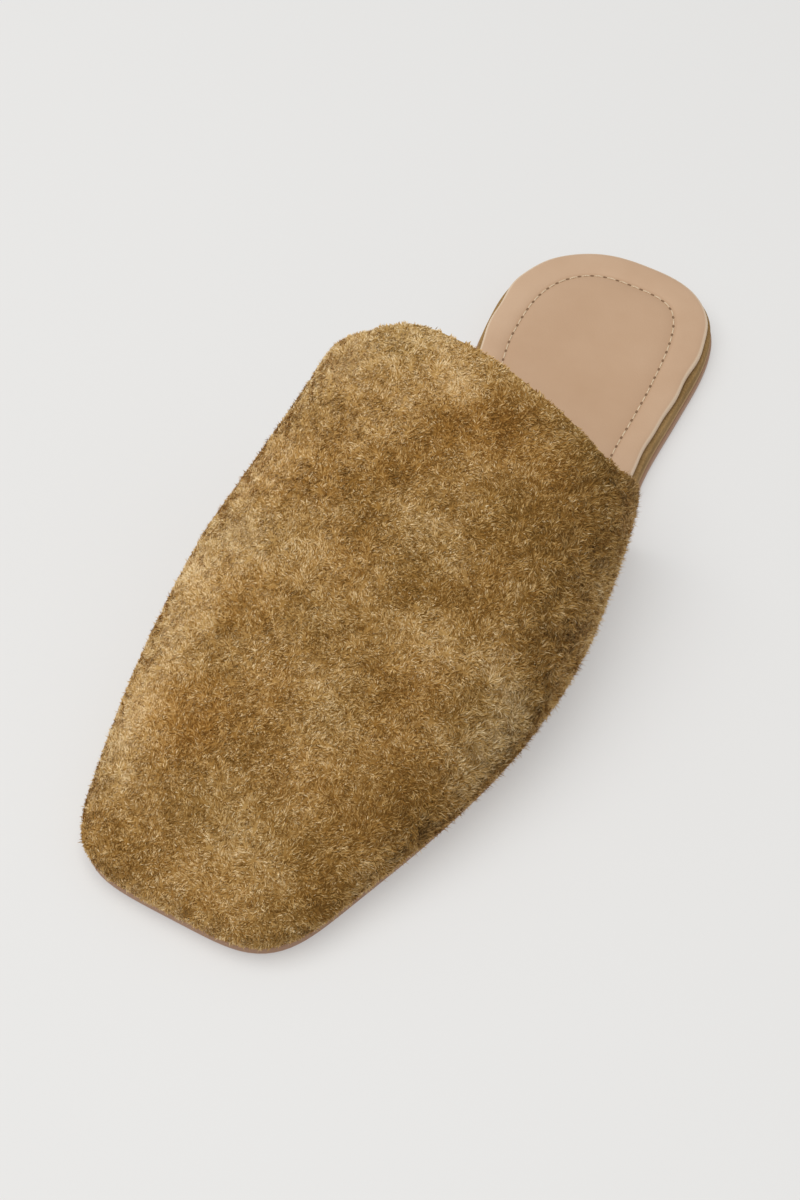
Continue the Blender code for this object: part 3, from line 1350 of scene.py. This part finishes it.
@dataclass(frozen=True)
class SuedeUpper:
    """The one-piece upper: outer face with its creases, raw edge, and smooth inner face, whose ground
    carries painted shade under the nap and painted light along the wall's foot.
    """

    last: Last
    shift: np.ndarray
    noise: SoftNoise
    tones: SuedeTones
    creases: tuple[Crease, ...]
    rows: int = 84
    columns: int = 168
    crowding: float = 1.2
    lumps: float = 0.00028
    lump_start: float = 0.3
    lump_size: float = 0.015
    hem: float = 0.004
    rim_bulge: float = 0.18
    # Near the floor the ground is paler and less darkened: painted light. Elsewhere it is darkened like the
    # fibres' roots: painted shade.
    foot_painted_paleness: float = 0.35
    ground_painted_shade_lift: float = 0.25
    foot_painted_shade_lift: float = 0.6

    def wall(self, side: Side) -> np.ndarray:
        """The bare last's surface on one side, before creases.

        Args:
            side: the side.

        Returns:
            The grid of its points.
        """
        collar_foot = self.last.collar.rows[0][1]
        shares = self.last.even_stations(0.0, collar_foot, self.columns) / collar_foot
        turns = 1 - (1 - np.linspace(0.0, 1.0, self.rows + 1)) ** self.crowding
        collar = self.last.collar.read(side.name.lower(), turns)
        stations = collar[:, None] * shares[None, :]
        turn = np.broadcast_to(turns[:, None], stations.shape)
        return self.last.upper_point(side, stations, turn)

    def crease_height(self, points: np.ndarray) -> np.ndarray:
        """How far creases and soft lumps push the suede out.

        Args:
            points: places in metres.

        Returns:
            One height in metres a point.
        """
        total = self.lumps * self.noise.at(points + self.lump_start, self.lump_size)
        for x0, y0, x1, y1, reach, height in self.creases:
            start = np.array([x0, y0]) * MM
            line = np.array([x1 - x0, y1 - y0]) * MM
            share = np.clip(((points[:, :2] - start) @ line) / (line @ line), 0.0, 1.0)
            away = ((points[:, :2] - start - share[:, None] * line) ** 2).sum(axis=1)
            taper = np.sqrt(np.clip(4 * share * (1 - share), 0.15, 1.0))
            total += height * MM * taper * np.exp(-away / (reach * MM) ** 2)
        return total * smooth_step(self.hem, 4 * self.hem, points[:, 2])

    def indices(self) -> tuple[np.ndarray, np.ndarray]:
        """Vertex numbers of both walls, which share the crest and the toe's middle line.

        Returns:
            The outer wall's grid of numbers and the inner wall's.
        """
        rows = self.rows
        columns = self.columns
        outer = np.arange((rows + 1) * (columns + 1)).reshape(rows + 1, columns + 1)
        inner = np.empty_like(outer)
        inner[rows] = outer[rows]
        inner[:, 0] = outer[:, 0]
        inner[:rows, 1:] = outer.size + np.arange(rows * columns).reshape(rows, columns)
        return outer, inner

    def join(self, outer: np.ndarray, inner: np.ndarray) -> np.ndarray:
        """Both walls' grids as one row a vertex.

        Args:
            outer: the outer wall's grid of points or directions.
            inner: the inner wall's.

        Returns:
            The rows, in the order of the vertex numbers.
        """
        return np.concatenate([outer.reshape(-1, 3), inner[: self.rows, 1:].reshape(-1, 3)])

    def faces(self) -> list[WallFace]:
        """Both walls with their creases, ready for the nap to stand on.

        Returns:
            The outer wall's face and the inner wall's.
        """
        outer_index, inner_index = self.indices()
        points = self.join(self.wall(Side.OUTER), self.wall(Side.INNER))
        quads = self.quads(outer_index, inner_index)
        normals = vertex_normals(points, quads)
        points = points + normals * self.crease_height(points)[:, None]
        normals = vertex_normals(points, quads)
        found = []
        for side, index in ((Side.OUTER, outer_index), (Side.INNER, inner_index)):
            grid = points[index]
            along = np.linalg.norm(np.diff(grid, axis=1), axis=2).cumsum(axis=1)
            up = np.linalg.norm(np.diff(grid, axis=0), axis=2)[::-1].cumsum(axis=0)[::-1]
            flat = np.zeros(index.shape + (2,))
            flat[:, 1:, 0] = along
            flat[:-1, :, 1] = up * side.value
            to_collar = flat[:, -1:, 0] - flat[..., 0]
            to_feather = (flat[:1, :, 1] - flat[..., 1]) * side.value
            borders = np.stack([to_collar, to_feather], axis=-1)
            found.append(WallFace(grid, normals[index], flat, borders))
        return found

    @staticmethod
    def quads(outer: np.ndarray, inner: np.ndarray) -> np.ndarray:
        """The faces between both walls' vertices, facing outwards.

        Args:
            outer: the outer wall's grid of vertex numbers.
            inner: the inner wall's.

        Returns:
            One row of four vertex numbers a face.
        """
        groups = []
        for index, flip in ((outer, False), (inner, True)):
            corners = np.stack([index[:-1, :-1], index[:-1, 1:], index[1:, 1:], index[1:, :-1]], axis=-1)
            corners = corners.reshape(-1, 4)
            groups.append(corners[:, ::-1] if flip else corners)
        return np.concatenate(groups)

    def build(
        self,
        faces: list[WallFace],
        ground: bpy.types.Material,
        pale_rim: bpy.types.Material,
        lining: bpy.types.Material,
    ) -> bpy.types.Object:
        """The upper as a closed wall.

        Args:
            faces: both walls' outer faces.
            ground: the finish under the nap.
            pale_rim: the finish of the raw edges.
            lining: the finish of the inner face.

        Returns:
            The piece.
        """
        outer_index, inner_index = self.indices()
        quads = self.quads(outer_index, inner_index)
        outer, inner = faces
        points = self.join(outer.points, inner.points)
        normals = self.join(outer.normals, inner.normals)
        count = len(points)
        inside = points - normals * self.last.upper_wall
        border = np.concatenate(
            [
                outer_index[0, ::-1][:-1],
                inner_index[0, :],
                inner_index[1:, -1],
                outer_index[: self.rows, -1][::-1],
            ]
        )
        border = border[np.sort(np.unique(border, return_index=True)[1])]
        tangent = unit(np.roll(points[border], -1, axis=0) - np.roll(points[border], 1, axis=0))
        away = unit(np.cross(tangent, normals[border]))
        middle = points[border] - normals[border] * self.last.upper_wall / 2
        rim = middle + away * self.last.upper_wall * self.rim_bulge
        around = np.arange(len(border))
        after = np.roll(around, -1)
        rim_index = 2 * count + around
        rim_faces = np.concatenate(
            [
                np.stack([border, border[after], rim_index[after], rim_index], axis=-1),
                np.stack([rim_index, rim_index[after], border[after] + count, border + count], axis=-1),
            ]
        )
        everything = np.concatenate([points, inside, rim]) + self.shift
        mesh = make_mesh("suede_upper", everything, [quads, quads[:, ::-1] + count, rim_faces])
        # Near the floor: paler ground with less painted shade, which is painted light
        foot = 1 - smooth_step(self.hem, 2.5 * self.hem, everything[:, 2])
        tone = self.tones.tone(everything - self.shift) + self.foot_painted_paleness * foot
        set_values(mesh, Attribute.TONE, tone)
        set_values(mesh, Attribute.WARMTH, self.tones.warmth(everything - self.shift))
        set_values(mesh, Attribute.TIP, self.ground_painted_shade_lift + self.foot_painted_shade_lift * foot)
        finishes = (ground, pale_rim, lining)
        for finish in finishes:
            mesh.materials.append(finish)
        groups = ((ground, quads), (lining, quads), (pale_rim, rim_faces))
        choice = np.concatenate([np.full(len(group), finishes.index(finish)) for finish, group in groups])
        mesh.polygons.foreach_set("material_index", choice.astype(np.int32))
        piece = place_piece("suede_upper", mesh)
        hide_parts("upper")
        return piece


@dataclass(frozen=True)
class Roots:
    """Where the blades grow: each row of an array is one blade's."""

    points: np.ndarray
    normals: np.ndarray
    flats: np.ndarray
    borders: np.ndarray
    frames: np.ndarray


@dataclass(frozen=True)
class Blades:
    """The blades themselves: four corners each, which are the root, the left, the right and the tip."""

    corners: np.ndarray
    normals: np.ndarray
    flats: np.ndarray
    tone: np.ndarray
    warmth: np.ndarray


@dataclass(frozen=True)
class ShaggyNap:
    """The long fibres of the suede, as bent leaf-shaped blades in bands from the toe to the collar.

    A row of drifts is a start in the noise, the size of its blotches in metres, and its weight.
    """

    tones: SuedeTones
    noise: SoftNoise
    shift: np.ndarray
    bands: tuple[str, ...] = ("nap_toe", "nap_forefoot", "nap_vamp", "nap_collar")
    blades: int = 380_000
    length: float = 0.00112
    width: float = 0.00028
    steepness: float = 30.0
    steepness_spread: float = 14.0
    dark_steepness: float = 14.0
    steepness_ends: tuple[float, float] = (0.1, 1.4)
    length_spread: tuple[float, float] = (0.6, 1.4)
    width_spread: tuple[float, float] = (0.6, 1.3)
    lean: tuple[float, float, float] = (0.12, 0.4, 0.12)
    lean_spread: float = 0.38
    drifts: tuple[tuple[float, float, float], ...] = (
        (0.0, 0.013, 0.8),
        (1.7, 0.004, 1.0),
        (2.9, 0.0016, 2.0),
    )
    bend: float = 0.6
    bend_place: float = 0.45
    curl: float = 0.45
    roll: float = 0.4
    root_depth: float = 0.00012
    strays: float = 0.045
    stray_steepness: float = 26.0
    stray_extra_length: float = 0.4
    stray_thinning: float = 0.3
    outer_wall_rise: tuple[float, float] = (0.030, 0.046)
    outer_wall_extra: float = 0.45
    inner_wall_rise: tuple[float, float] = (0.012, 0.034)
    inner_wall_trim: float = 0.15
    dark_length: float = 1.15
    pale_trim: float = 0.3
    edge_length: float = 0.75
    edge_reach: float = 0.004
    tone_spread: float = 0.24
    tuft_size: float = 0.0012
    tuft_start: float = 4.3
    pull_start: float = 3.1
    tuft_tone: float = 0.20
    tuft_pull: float = 0.00042
    middle_pull: float = 0.35
    warmth_spread: float = 0.15
    # Blades near the feather line are made paler: painted light along the wall's foot
    rim_painted_paleness: float = 0.40
    rim_reach: float = 0.006
    rim_fall: float = 1.6
    face_share: float = 0.4
    roundness: float = 0.35
    # Painted shade along each blade: darkest at the root, none at the tip
    painted_shade_along: tuple[float, float, float, float] = (0.0, 0.6, 0.6, 1.0)
    map_margin: float = 0.01
    seed: int = 17

    def build(self, faces: list[WallFace], finish: bpy.types.Material) -> list[bpy.types.Object]:
        """The nap on both walls.

        Args:
            faces: both walls.
            finish: the nap's finish.

        Returns:
            One piece a band.
        """
        rng = np.random.default_rng(self.seed)
        roots = self.scatter(faces, rng)
        blades = self.grow(roots, rng)
        order = np.argsort(roots.points[:, 1], kind="stable")
        return [
            self.build_band(name, blades, chosen, finish)
            for name, chosen in zip(self.bands, np.array_split(order, len(self.bands)))
        ]

    def scatter(self, faces: list[WallFace], rng: np.random.Generator) -> Roots:
        """Roots spread evenly over the walls.

        Args:
            faces: both walls.
            rng: where the chances come from.

        Returns:
            The roots.
        """
        areas = []
        for face in faces:
            first = (face.points[1:, 1:] - face.points[:-1, :-1]).reshape(-1, 3)
            second = (face.points[1:, :-1] - face.points[:-1, 1:]).reshape(-1, 3)
            areas.append(np.linalg.norm(np.cross(first, second), axis=1) / 2)
        whole = sum(area.sum() for area in areas)
        gathered = []
        for face, area in zip(faces, areas):
            count = round(self.blades * area.sum() / whole)
            picked = rng.choice(len(area), count, p=area / area.sum())
            share = rng.random((2, count, 1))
            grids = (face.points, face.normals, face.flat, face.borders)
            values = [self.blend(grid, picked, share) for grid in grids]
            steps = [
                np.stack(
                    [
                        (grid[:-1, 1:] - grid[:-1, :-1]).reshape(-1, grid.shape[-1]),
                        (grid[1:, :-1] - grid[:-1, :-1]).reshape(-1, grid.shape[-1]),
                    ],
                    axis=1,
                )[picked]
                for grid in (face.points, face.flat)
            ]
            gathered.append((*values, np.linalg.pinv(steps[0]) @ steps[1]))
        return Roots(*(np.concatenate(group) for group in zip(*gathered)))

    @staticmethod
    def blend(values: np.ndarray, picked: np.ndarray, share: np.ndarray) -> np.ndarray:
        """Values inside the picked faces of a grid.

        Args:
            values: the grid's values.
            picked: the faces' numbers.
            share: how far across and how far up each face the place is.

        Returns:
            The values there.
        """
        size = values.shape[-1]
        low = values[:-1, :-1].reshape(-1, size)[picked] * (1 - share[0])
        low = low + values[:-1, 1:].reshape(-1, size)[picked] * share[0]
        high = values[1:, :-1].reshape(-1, size)[picked] * (1 - share[0])
        high = high + values[1:, 1:].reshape(-1, size)[picked] * share[0]
        return low * (1 - share[1]) + high * share[1]

    def drift(self, points: np.ndarray, start: float, size: float) -> np.ndarray:
        """A direction that turns slowly over the surface.

        Args:
            points: places in metres.
            start: where in the noise it starts.
            size: over how many metres it turns.

        Returns:
            One direction a point, about one long or less.
        """
        return np.stack([self.noise.at(points + start + 0.37 * axis, size) for axis in range(3)], axis=-1)

    def lengths(self, roots: Roots, tone: np.ndarray) -> np.ndarray:
        """How long the fibres are: longer where dark and on the outer wall, shorter at the edges.

        Args:
            roots: where they grow.
            tone: how pale the suede is there.

        Returns:
            The lengths in metres.
        """
        x = roots.points[:, 0]
        outer = self.outer_wall_extra * smooth_step(*self.outer_wall_rise, x)
        inner = self.inner_wall_trim * smooth_step(*self.inner_wall_rise, -x)
        within = smooth_step(0.0, self.edge_reach, roots.borders.min(axis=1))
        edges = self.edge_length + (1 - self.edge_length) * within
        return self.length * (self.dark_length - self.pale_trim * tone) * (1 + outer - inner) * edges

    def directions(
        self, points: np.ndarray, up: np.ndarray, near_rim: np.ndarray, rng: np.random.Generator
    ) -> np.ndarray:
        """Which way the fibres lie on the surface.

        Args:
            points: their roots.
            up: the outward directions there.
            near_rim: how near the feather line they are, from 0 to 1.
            rng: where the chances come from.

        Returns:
            One direction a fibre, along the surface.
        """
        lie = np.array(self.lean)
        for start, size, weight in self.drifts:
            lie = lie + weight * self.drift(points, start, size)
        lie = lie + rng.normal(0.0, self.lean_spread, points.shape)
        lie = lie - np.array([0.0, 0.0, self.rim_fall]) * near_rim[:, None]
        return unit(lie - up * (lie * up).sum(axis=1, keepdims=True))

    def grow(self, roots: Roots, rng: np.random.Generator) -> Blades:
        """Shapes and shades the blades.

        Args:
            roots: where they grow.
            rng: where the chances come from.

        Returns:
            The blades.
        """
        points = roots.points
        count = len(points)
        up = unit(roots.normals)
        tone = self.tones.tone(points)
        stray = rng.random(count) < self.strays
        near_rim = 1 - smooth_step(0.0, self.rim_reach, roots.borders[:, 1])
        lie = self.directions(points, up, near_rim, rng)
        across = np.cross(lie, up)

        steep = self.steepness - self.dark_steepness * (tone - 0.5)
        steep = steep + rng.normal(0.0, self.steepness_spread, count) + self.stray_steepness * stray
        steep = np.clip(np.radians(steep), *self.steepness_ends)[:, None]
        length = self.lengths(roots, tone) * rng.uniform(*self.length_spread, count)
        length = (length * (1 + self.stray_extra_length * stray))[:, None]
        width = self.width * rng.uniform(*self.width_spread, count)
        width = (width * (1 - self.stray_thinning * stray))[:, None]

        first = lie * np.cos(steep) + up * np.sin(steep)
        bent = np.clip(steep - rng.uniform(0.0, self.bend, (count, 1)), 0.0, self.steepness_ends[1])
        curled = unit(lie + across * rng.normal(0.0, self.curl, (count, 1)))
        second = curled * np.cos(bent) + up * np.sin(bent)
        roll = rng.normal(0.0, self.roll, (count, 1))
        wide = across * np.cos(roll) + up * np.sin(roll)
        pull = self.drift(points, self.pull_start, self.tuft_size) * self.tuft_pull
        pull = pull - up * (pull * up).sum(axis=1, keepdims=True)
        middle = points + first * length * self.bend_place + pull * self.middle_pull
        tip = middle + second * length * (1 - self.bend_place) + pull * (1 - self.middle_pull)
        start = points - up * self.root_depth
        corners = np.stack([start, middle - wide * width / 2, middle + wide * width / 2, tip], axis=1)

        facing = unit(np.cross(wide, tip - start))
        facing = facing * np.sign((facing * up).sum(axis=1, keepdims=True))
        facing = up * (1 - self.face_share) + facing * self.face_share
        normals = np.stack(
            [facing, facing - wide * self.roundness, facing + wide * self.roundness, facing], axis=1
        )
        moved = np.einsum("bci,bij->bcj", corners - points[:, None], roots.frames)
        tufts = self.noise.at(points + self.tuft_start, self.tuft_size)
        # Paler blades near the feather line: painted light
        shade = tone + self.rim_painted_paleness * near_rim + self.tuft_tone * tufts
        shade = shade + rng.normal(0.0, self.tone_spread, count)
        warmth = self.tones.warmth(points) + rng.normal(0.0, self.warmth_spread, count)
        return Blades(corners, unit(normals), roots.flats[:, None] + moved, shade, warmth)

    def build_band(
        self, name: str, blades: Blades, chosen: np.ndarray, finish: bpy.types.Material
    ) -> bpy.types.Object:
        """One band of the nap.

        Args:
            name: the piece's name.
            blades: all blades.
            chosen: which of them are in the band.
            finish: the nap's finish.

        Returns:
            The piece.
        """
        count = len(chosen)
        points = blades.corners[chosen].reshape(-1, 3)
        normals = blades.normals[chosen].reshape(-1, 3)
        triangles = (np.arange(count)[:, None, None] * 4 + np.array([[0, 2, 1], [1, 2, 3]])).reshape(-1, 3)
        first, second, third = (points[triangles[:, corner]] for corner in range(3))
        facing = np.cross(second - first, third - first)
        inwards = (facing * normals[triangles[:, 0]]).sum(axis=1) < 0
        triangles[inwards] = triangles[inwards][:, ::-1]
        mesh = make_mesh(name, points + self.shift, [triangles])
        set_values(mesh, Attribute.TONE, np.repeat(np.clip(blades.tone[chosen], 0.0, 1.0), 4))
        set_values(mesh, Attribute.WARMTH, np.repeat(np.clip(blades.warmth[chosen], 0.0, 1.0), 4))
        set_values(mesh, Attribute.TIP, np.tile(self.painted_shade_along, count))
        custom = mesh.attributes.new("custom_normal", "FLOAT_VECTOR", "POINT")
        custom.data.foreach_set("vector", normals.astype(np.float32).ravel())
        flat = blades.flats[chosen].reshape(-1, 2)
        low = flat.min(axis=0)
        room = 1 - 2 * self.map_margin
        flat = self.map_margin + room * (flat - low) / (flat.max(axis=0) - low)
        layer = mesh.uv_layers.new(name=BAKE_MAP)
        layer.data.foreach_set("uv", flat[triangles.ravel()].astype(np.float32).ravel())
        mesh.materials.append(finish)
        return place_piece(name, mesh)


@dataclass(frozen=True)
class Studio:
    """Pale floor, wide soft light from above, and the photograph's camera aimed at the one shoe."""

    eye: Vector = Vector((0.1584, -0.3652, 0.4502))
    photo_view: Vector = Vector((-0.3537, 0.5704, -0.7413))
    photo_right: Vector = Vector((0.8499, 0.5270, 0.0))
    photo_up: Vector = Vector((-0.3906, 0.6300, 0.6712))
    aim: Vector = Vector((0.0023, -0.0351, 0.0222))
    lens: float = 65.0
    floor_reach: float = 3.0
    floor_colour: Colour = linear(180, 179, 177)
    # The floor's glow is painted light: it lightens the shadows on the floor
    floor_glow: float = 0.345
    floor_dimming: float = 0.985
    floor_drop: float = 0.0001
    light_place: Vector = Vector((-0.30, -0.36, 1.50))
    light_size: float = 1.6
    light_power: float = 20.0
    sky_colour: Colour = (1.0, 0.995, 0.985)
    sky_strength: float = 0.43

    def build_camera(self) -> None:
        """The camera: the photograph's, turned by a few degrees to the shoe's middle and zoomed in."""
        view = (self.aim - self.eye).normalized()
        turn = self.photo_view.normalized().rotation_difference(view)
        right = turn @ self.photo_right.normalized()
        up = turn @ self.photo_up.normalized()
        data = bpy.data.cameras.new("photo_camera")
        data.lens = self.lens
        data.sensor_width = 36.0
        data.clip_start = 0.01
        camera = bpy.data.objects.new("photo_camera", data)
        facing = Matrix((right, up, -view)).transposed()
        camera.matrix_world = Matrix.Translation(self.eye) @ facing.to_4x4()
        bpy.context.scene.collection.objects.link(camera)
        bpy.context.scene.camera = camera

    def build_floor(self) -> None:
        """The floor, a matte pale board that glows a little: painted light that lightens the shadows on it.
        """
        reach = self.floor_reach
        corners = ((-reach, -reach), (reach, -reach), (reach, reach), (-reach, reach))
        points = np.array([(x, y, -self.floor_drop) for x, y in corners])
        mesh = make_mesh("floor", points, [np.array([[0, 1, 2, 3]])])
        material, board, shader = new_material("pale_floor")
        place = board.add("TexCoord").outputs["Object"]
        cloud = board.add("TexNoise", {"Vector": place, "Scale": 3.0, "Detail": 2.0})
        low = tuple(channel * self.floor_dimming for channel in self.floor_colour)
        colour = board.ramp(cloud.outputs["Fac"], ((0.3, low), (0.7, self.floor_colour)))
        colour_shader(board, shader, colour, roughness=0.9, specular=0.1)
        shader.inputs["Emission Color"].default_value = (1.0, 1.0, 1.0, 1.0)
        shader.inputs["Emission Strength"].default_value = self.floor_glow
        mesh.materials.append(material)
        floor = bpy.data.objects.new("floor", mesh)
        bpy.context.scene.collection.objects.link(floor)

    def build_light(self) -> None:
        """A wide soft light overhead, a little to the front left, that looks at the shoe."""
        data = bpy.data.lights.new("overhead_light", "AREA")
        data.shape = "SQUARE"
        data.size = self.light_size
        data.energy = self.light_power
        light = bpy.data.objects.new("overhead_light", data)
        light.location = self.light_place
        light.rotation_euler = (self.aim - self.light_place).to_track_quat("-Z", "Y").to_euler()
        bpy.context.scene.collection.objects.link(light)

    def build_sky(self) -> None:
        """An even pale sky."""
        world = bpy.data.worlds.new("pale_sky")
        world.use_nodes = True
        sky = world.node_tree.nodes["Background"]
        sky.inputs["Color"].default_value = (*self.sky_colour, 1.0)
        sky.inputs["Strength"].default_value = self.sky_strength
        bpy.context.scene.world = world

    def build(self) -> None:
        """The whole studio."""
        self.build_floor()
        self.build_light()
        self.build_sky()
        self.build_camera()
        bpy.context.scene.view_settings.view_transform = "Standard"


# Creases of the upper: X and Y of the start and of the end, reach and height, in millimetres
CREASES = (
    (21, -31, 24, -44, 2.6, 0.45),
    (12, -30, 4, -42, 6.0, -0.40),
    (34, -20, 38, -44, 7.0, -0.45),
    (-8, -66, 24, -78, 5.0, -0.35),
    (30, -64, 46, -58, 5.0, 0.35),
    (-30, -14, -36, -44, 6.0, -0.35),
    (14, -2, 36, -4, 6.0, -0.35),
    (-14, -100, -2, -122, 8.0, -0.30),
    (24, -96, 36, -112, 6.0, -0.35),
    (-9, 4, -31, 2, 9.0, 1.2),
)

# Patches of tone: X, Y, Z and reach in millimetres, then the weight, below 0 where darker; the pale patches
# on the inner wall and along the outer wall's lower edge are painted light
PATCHES = (
    (38, 8, 49, 8, -0.7),
    (31, 0, 55, 6, -0.9),
    (33, -16, 50, 10, -0.9),
    (43, -5, 42, 9, -0.7),
    (12, -5, 62, 8, -0.75),
    (1, -8, 62, 6, -0.55),
    (-4, -25, 56, 8, -0.6),
    (-3, -39, 51, 6, -0.5),
    (30, -33, 47, 9, -0.6),
    (29, -46, 43, 7, -0.7),
    (43, -37, 39, 10, -0.6),
    (47, -25, 35, 8, -0.4),
    (47, -45, 32, 7, -0.5),
    (50, -50, 26, 5, -0.4),
    (14, -50, 46, 6, -0.55),
    (20, -47, 46, 5, -0.6),
    (41, -67, 30, 7, -0.6),
    (37, -88, 25, 10, -0.85),
    (38, -94, 21, 8, -0.7),
    (26, -116, 17, 8, -0.7),
    (32, -119, 12, 7, -0.5),
    (26, -105, 23, 6, -0.4),
    (-20, -99, 27, 9, -0.4),
    (-16, -105, 25, 8, -0.35),
    (-7, -116, 21, 9, -0.45),
    (-15, -131, 13, 7, -0.35),
    (-6, -133, 12, 7, -0.35),
    (-19, -73, 37, 6, -0.4),
    (1, -71, 39, 5, -0.5),
    (22, -74, 36, 6, -0.45),
    (-25, -17, 57, 6, -0.4),
    (-26, -25, 54, 6, -0.35),
    # Pale strip on the inner wall: painted light
    (-42, -38, 41, 12, 0.9),
    (-42, -60, 33, 12, 0.9),
    (-38, -81, 28, 12, 0.8),
    (-36, -101, 20, 11, 0.7),
    (-31, -117, 16, 9, 0.6),
    (-23, 2, 66, 15, 1.5),
    (-35, 2, 60, 12, 0.8),
    (-31, -54, 42, 9, 0.35),
    (-22, -60, 42, 8, 0.3),
    (40, -52, 36, 7, 0.35),
    # Pale lower outer wall where the nap is seen edge-on: painted sheen
    (48, -61, 25, 9, 1.3),
    (47, -73, 20, 9, 1.1),
    (7, -35, 52, 6, 0.35),
    (21, -34, 50, 3.5, 0.5),
    (23, -41, 47, 3, 0.6),
    (5, -79, 36, 6, 0.35),
    (18, -88, 31, 6, 0.3),
    (22, -123, 16, 5, 0.4),
    (-1, -132, 13, 5, 0.25),
    # Painted sheen on the outer wall
    (45, 11, 33, 6, 0.3),
    (27, -59, 40, 7, 0.25),
    (-3, 4, 67, 9, 0.8),
    (47, 4, 24, 6, 0.2),
    # Pale lower outer wall: painted light
    (49, -5, 18, 10, 0.6),
    (47, 12, 16, 10, 0.6),
    (50, -26, 15, 10, 0.6),
)

# Patches of warmth in the same order, below 0 where cooler
WARM_PATCHES = (
    (-20, -99, 27, 14, 0.4),
    (-26, -25, 54, 12, 0.25),
    (-30, -60, 40, 14, 0.15),
    (12, -5, 62, 12, 0.25),
    (48, -61, 25, 14, -0.5),
    (38, 8, 49, 10, -0.35),
    (-23, 2, 66, 14, -0.2),
    (37, -88, 25, 12, -0.2),
)


def frame_shift(last: Last) -> np.ndarray:
    """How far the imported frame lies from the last's own middle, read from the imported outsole.

    Args:
        last: the last.

    Returns:
        The shift in metres.
    """
    low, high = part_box("outsole")
    stations = np.linspace(0.0, 1.0, 2001)
    outer = last.half_width(stations, Side.OUTER).max()
    inner = last.half_width(stations, Side.INNER).max()
    x = (low.x + high.x) / 2 - (outer - inner) / 2
    y = low.y + last.footbed_length / 2 + last.outsole_ledge
    return np.array([x, y, 0.0])


def main() -> None:
    """Builds the shoe's pieces in order, then the studio."""
    logging.basicConfig(level=logging.INFO, format="%(name)s: %(message)s")
    last = Last()
    shift = frame_shift(last)
    effects = Effects()
    tones = SuedeTones(SoftNoise(5), PATCHES, WARM_PATCHES)

    sole_leather = SmoothLeather(
        "sole_leather", linear(176, 141, 115), linear(158, 122, 96), linear(170, 132, 106), roughness=0.5
    )
    insole_leather = SmoothLeather(
        "insole_leather", linear(204, 172, 142), linear(193, 159, 128), linear(184, 149, 117)
    )
    lining_leather = SmoothLeather(
        "lining_leather", linear(172, 138, 98), linear(150, 116, 78), linear(150, 116, 78)
    )
    wrap_suede = ShortNap("wrap_suede", linear(140, 110, 68), linear(172, 140, 94), linear(192, 160, 120))
    cut_edge = ShortNap("cut_edge", linear(160, 130, 86), linear(190, 160, 114), linear(190, 160, 114))
    long_nap = LongNap(
        "upper_suede",
        (
            (0.0, linear(120, 85, 36)),
            (0.30, linear(163, 123, 62)),
            (0.62, linear(208, 172, 112)),
            (1.0, linear(248, 224, 178)),
        ),
        (
            (0.0, linear(128, 84, 34)),
            (0.30, linear(174, 125, 58)),
            (0.62, linear(214, 170, 104)),
            (1.0, linear(248, 218, 168)),
        ),
    )
    suede = long_nap.material(effects)
    thread = Thread("insole_thread", linear(224, 202, 172), linear(200, 174, 142)).material()
    # The needle holes' dark colour is painted shade
    hole = Thread("needle_hole", linear(138, 106, 76), linear(116, 86, 58)).material()

    layers = BottomLayers(last, shift)
    LeatherSole(layers).build(sole_leather.material(effects))
    FootbedWrap(layers).build(wrap_suede.material(effects))
    insole = PaddedInsole(layers, SoftNoise(11))
    insole.build(insole_leather.material(effects))
    InsoleStitching(insole).build(thread, hole)
    upper = SuedeUpper(last, shift, SoftNoise(23), tones, CREASES)
    faces = upper.faces()
    upper.build(faces, suede, cut_edge.material(effects), lining_leather.material(effects))
    ShaggyNap(tones, SoftNoise(31), shift).build(faces, suede)
    Studio().build()


if __name__ == "__main__":
    main()
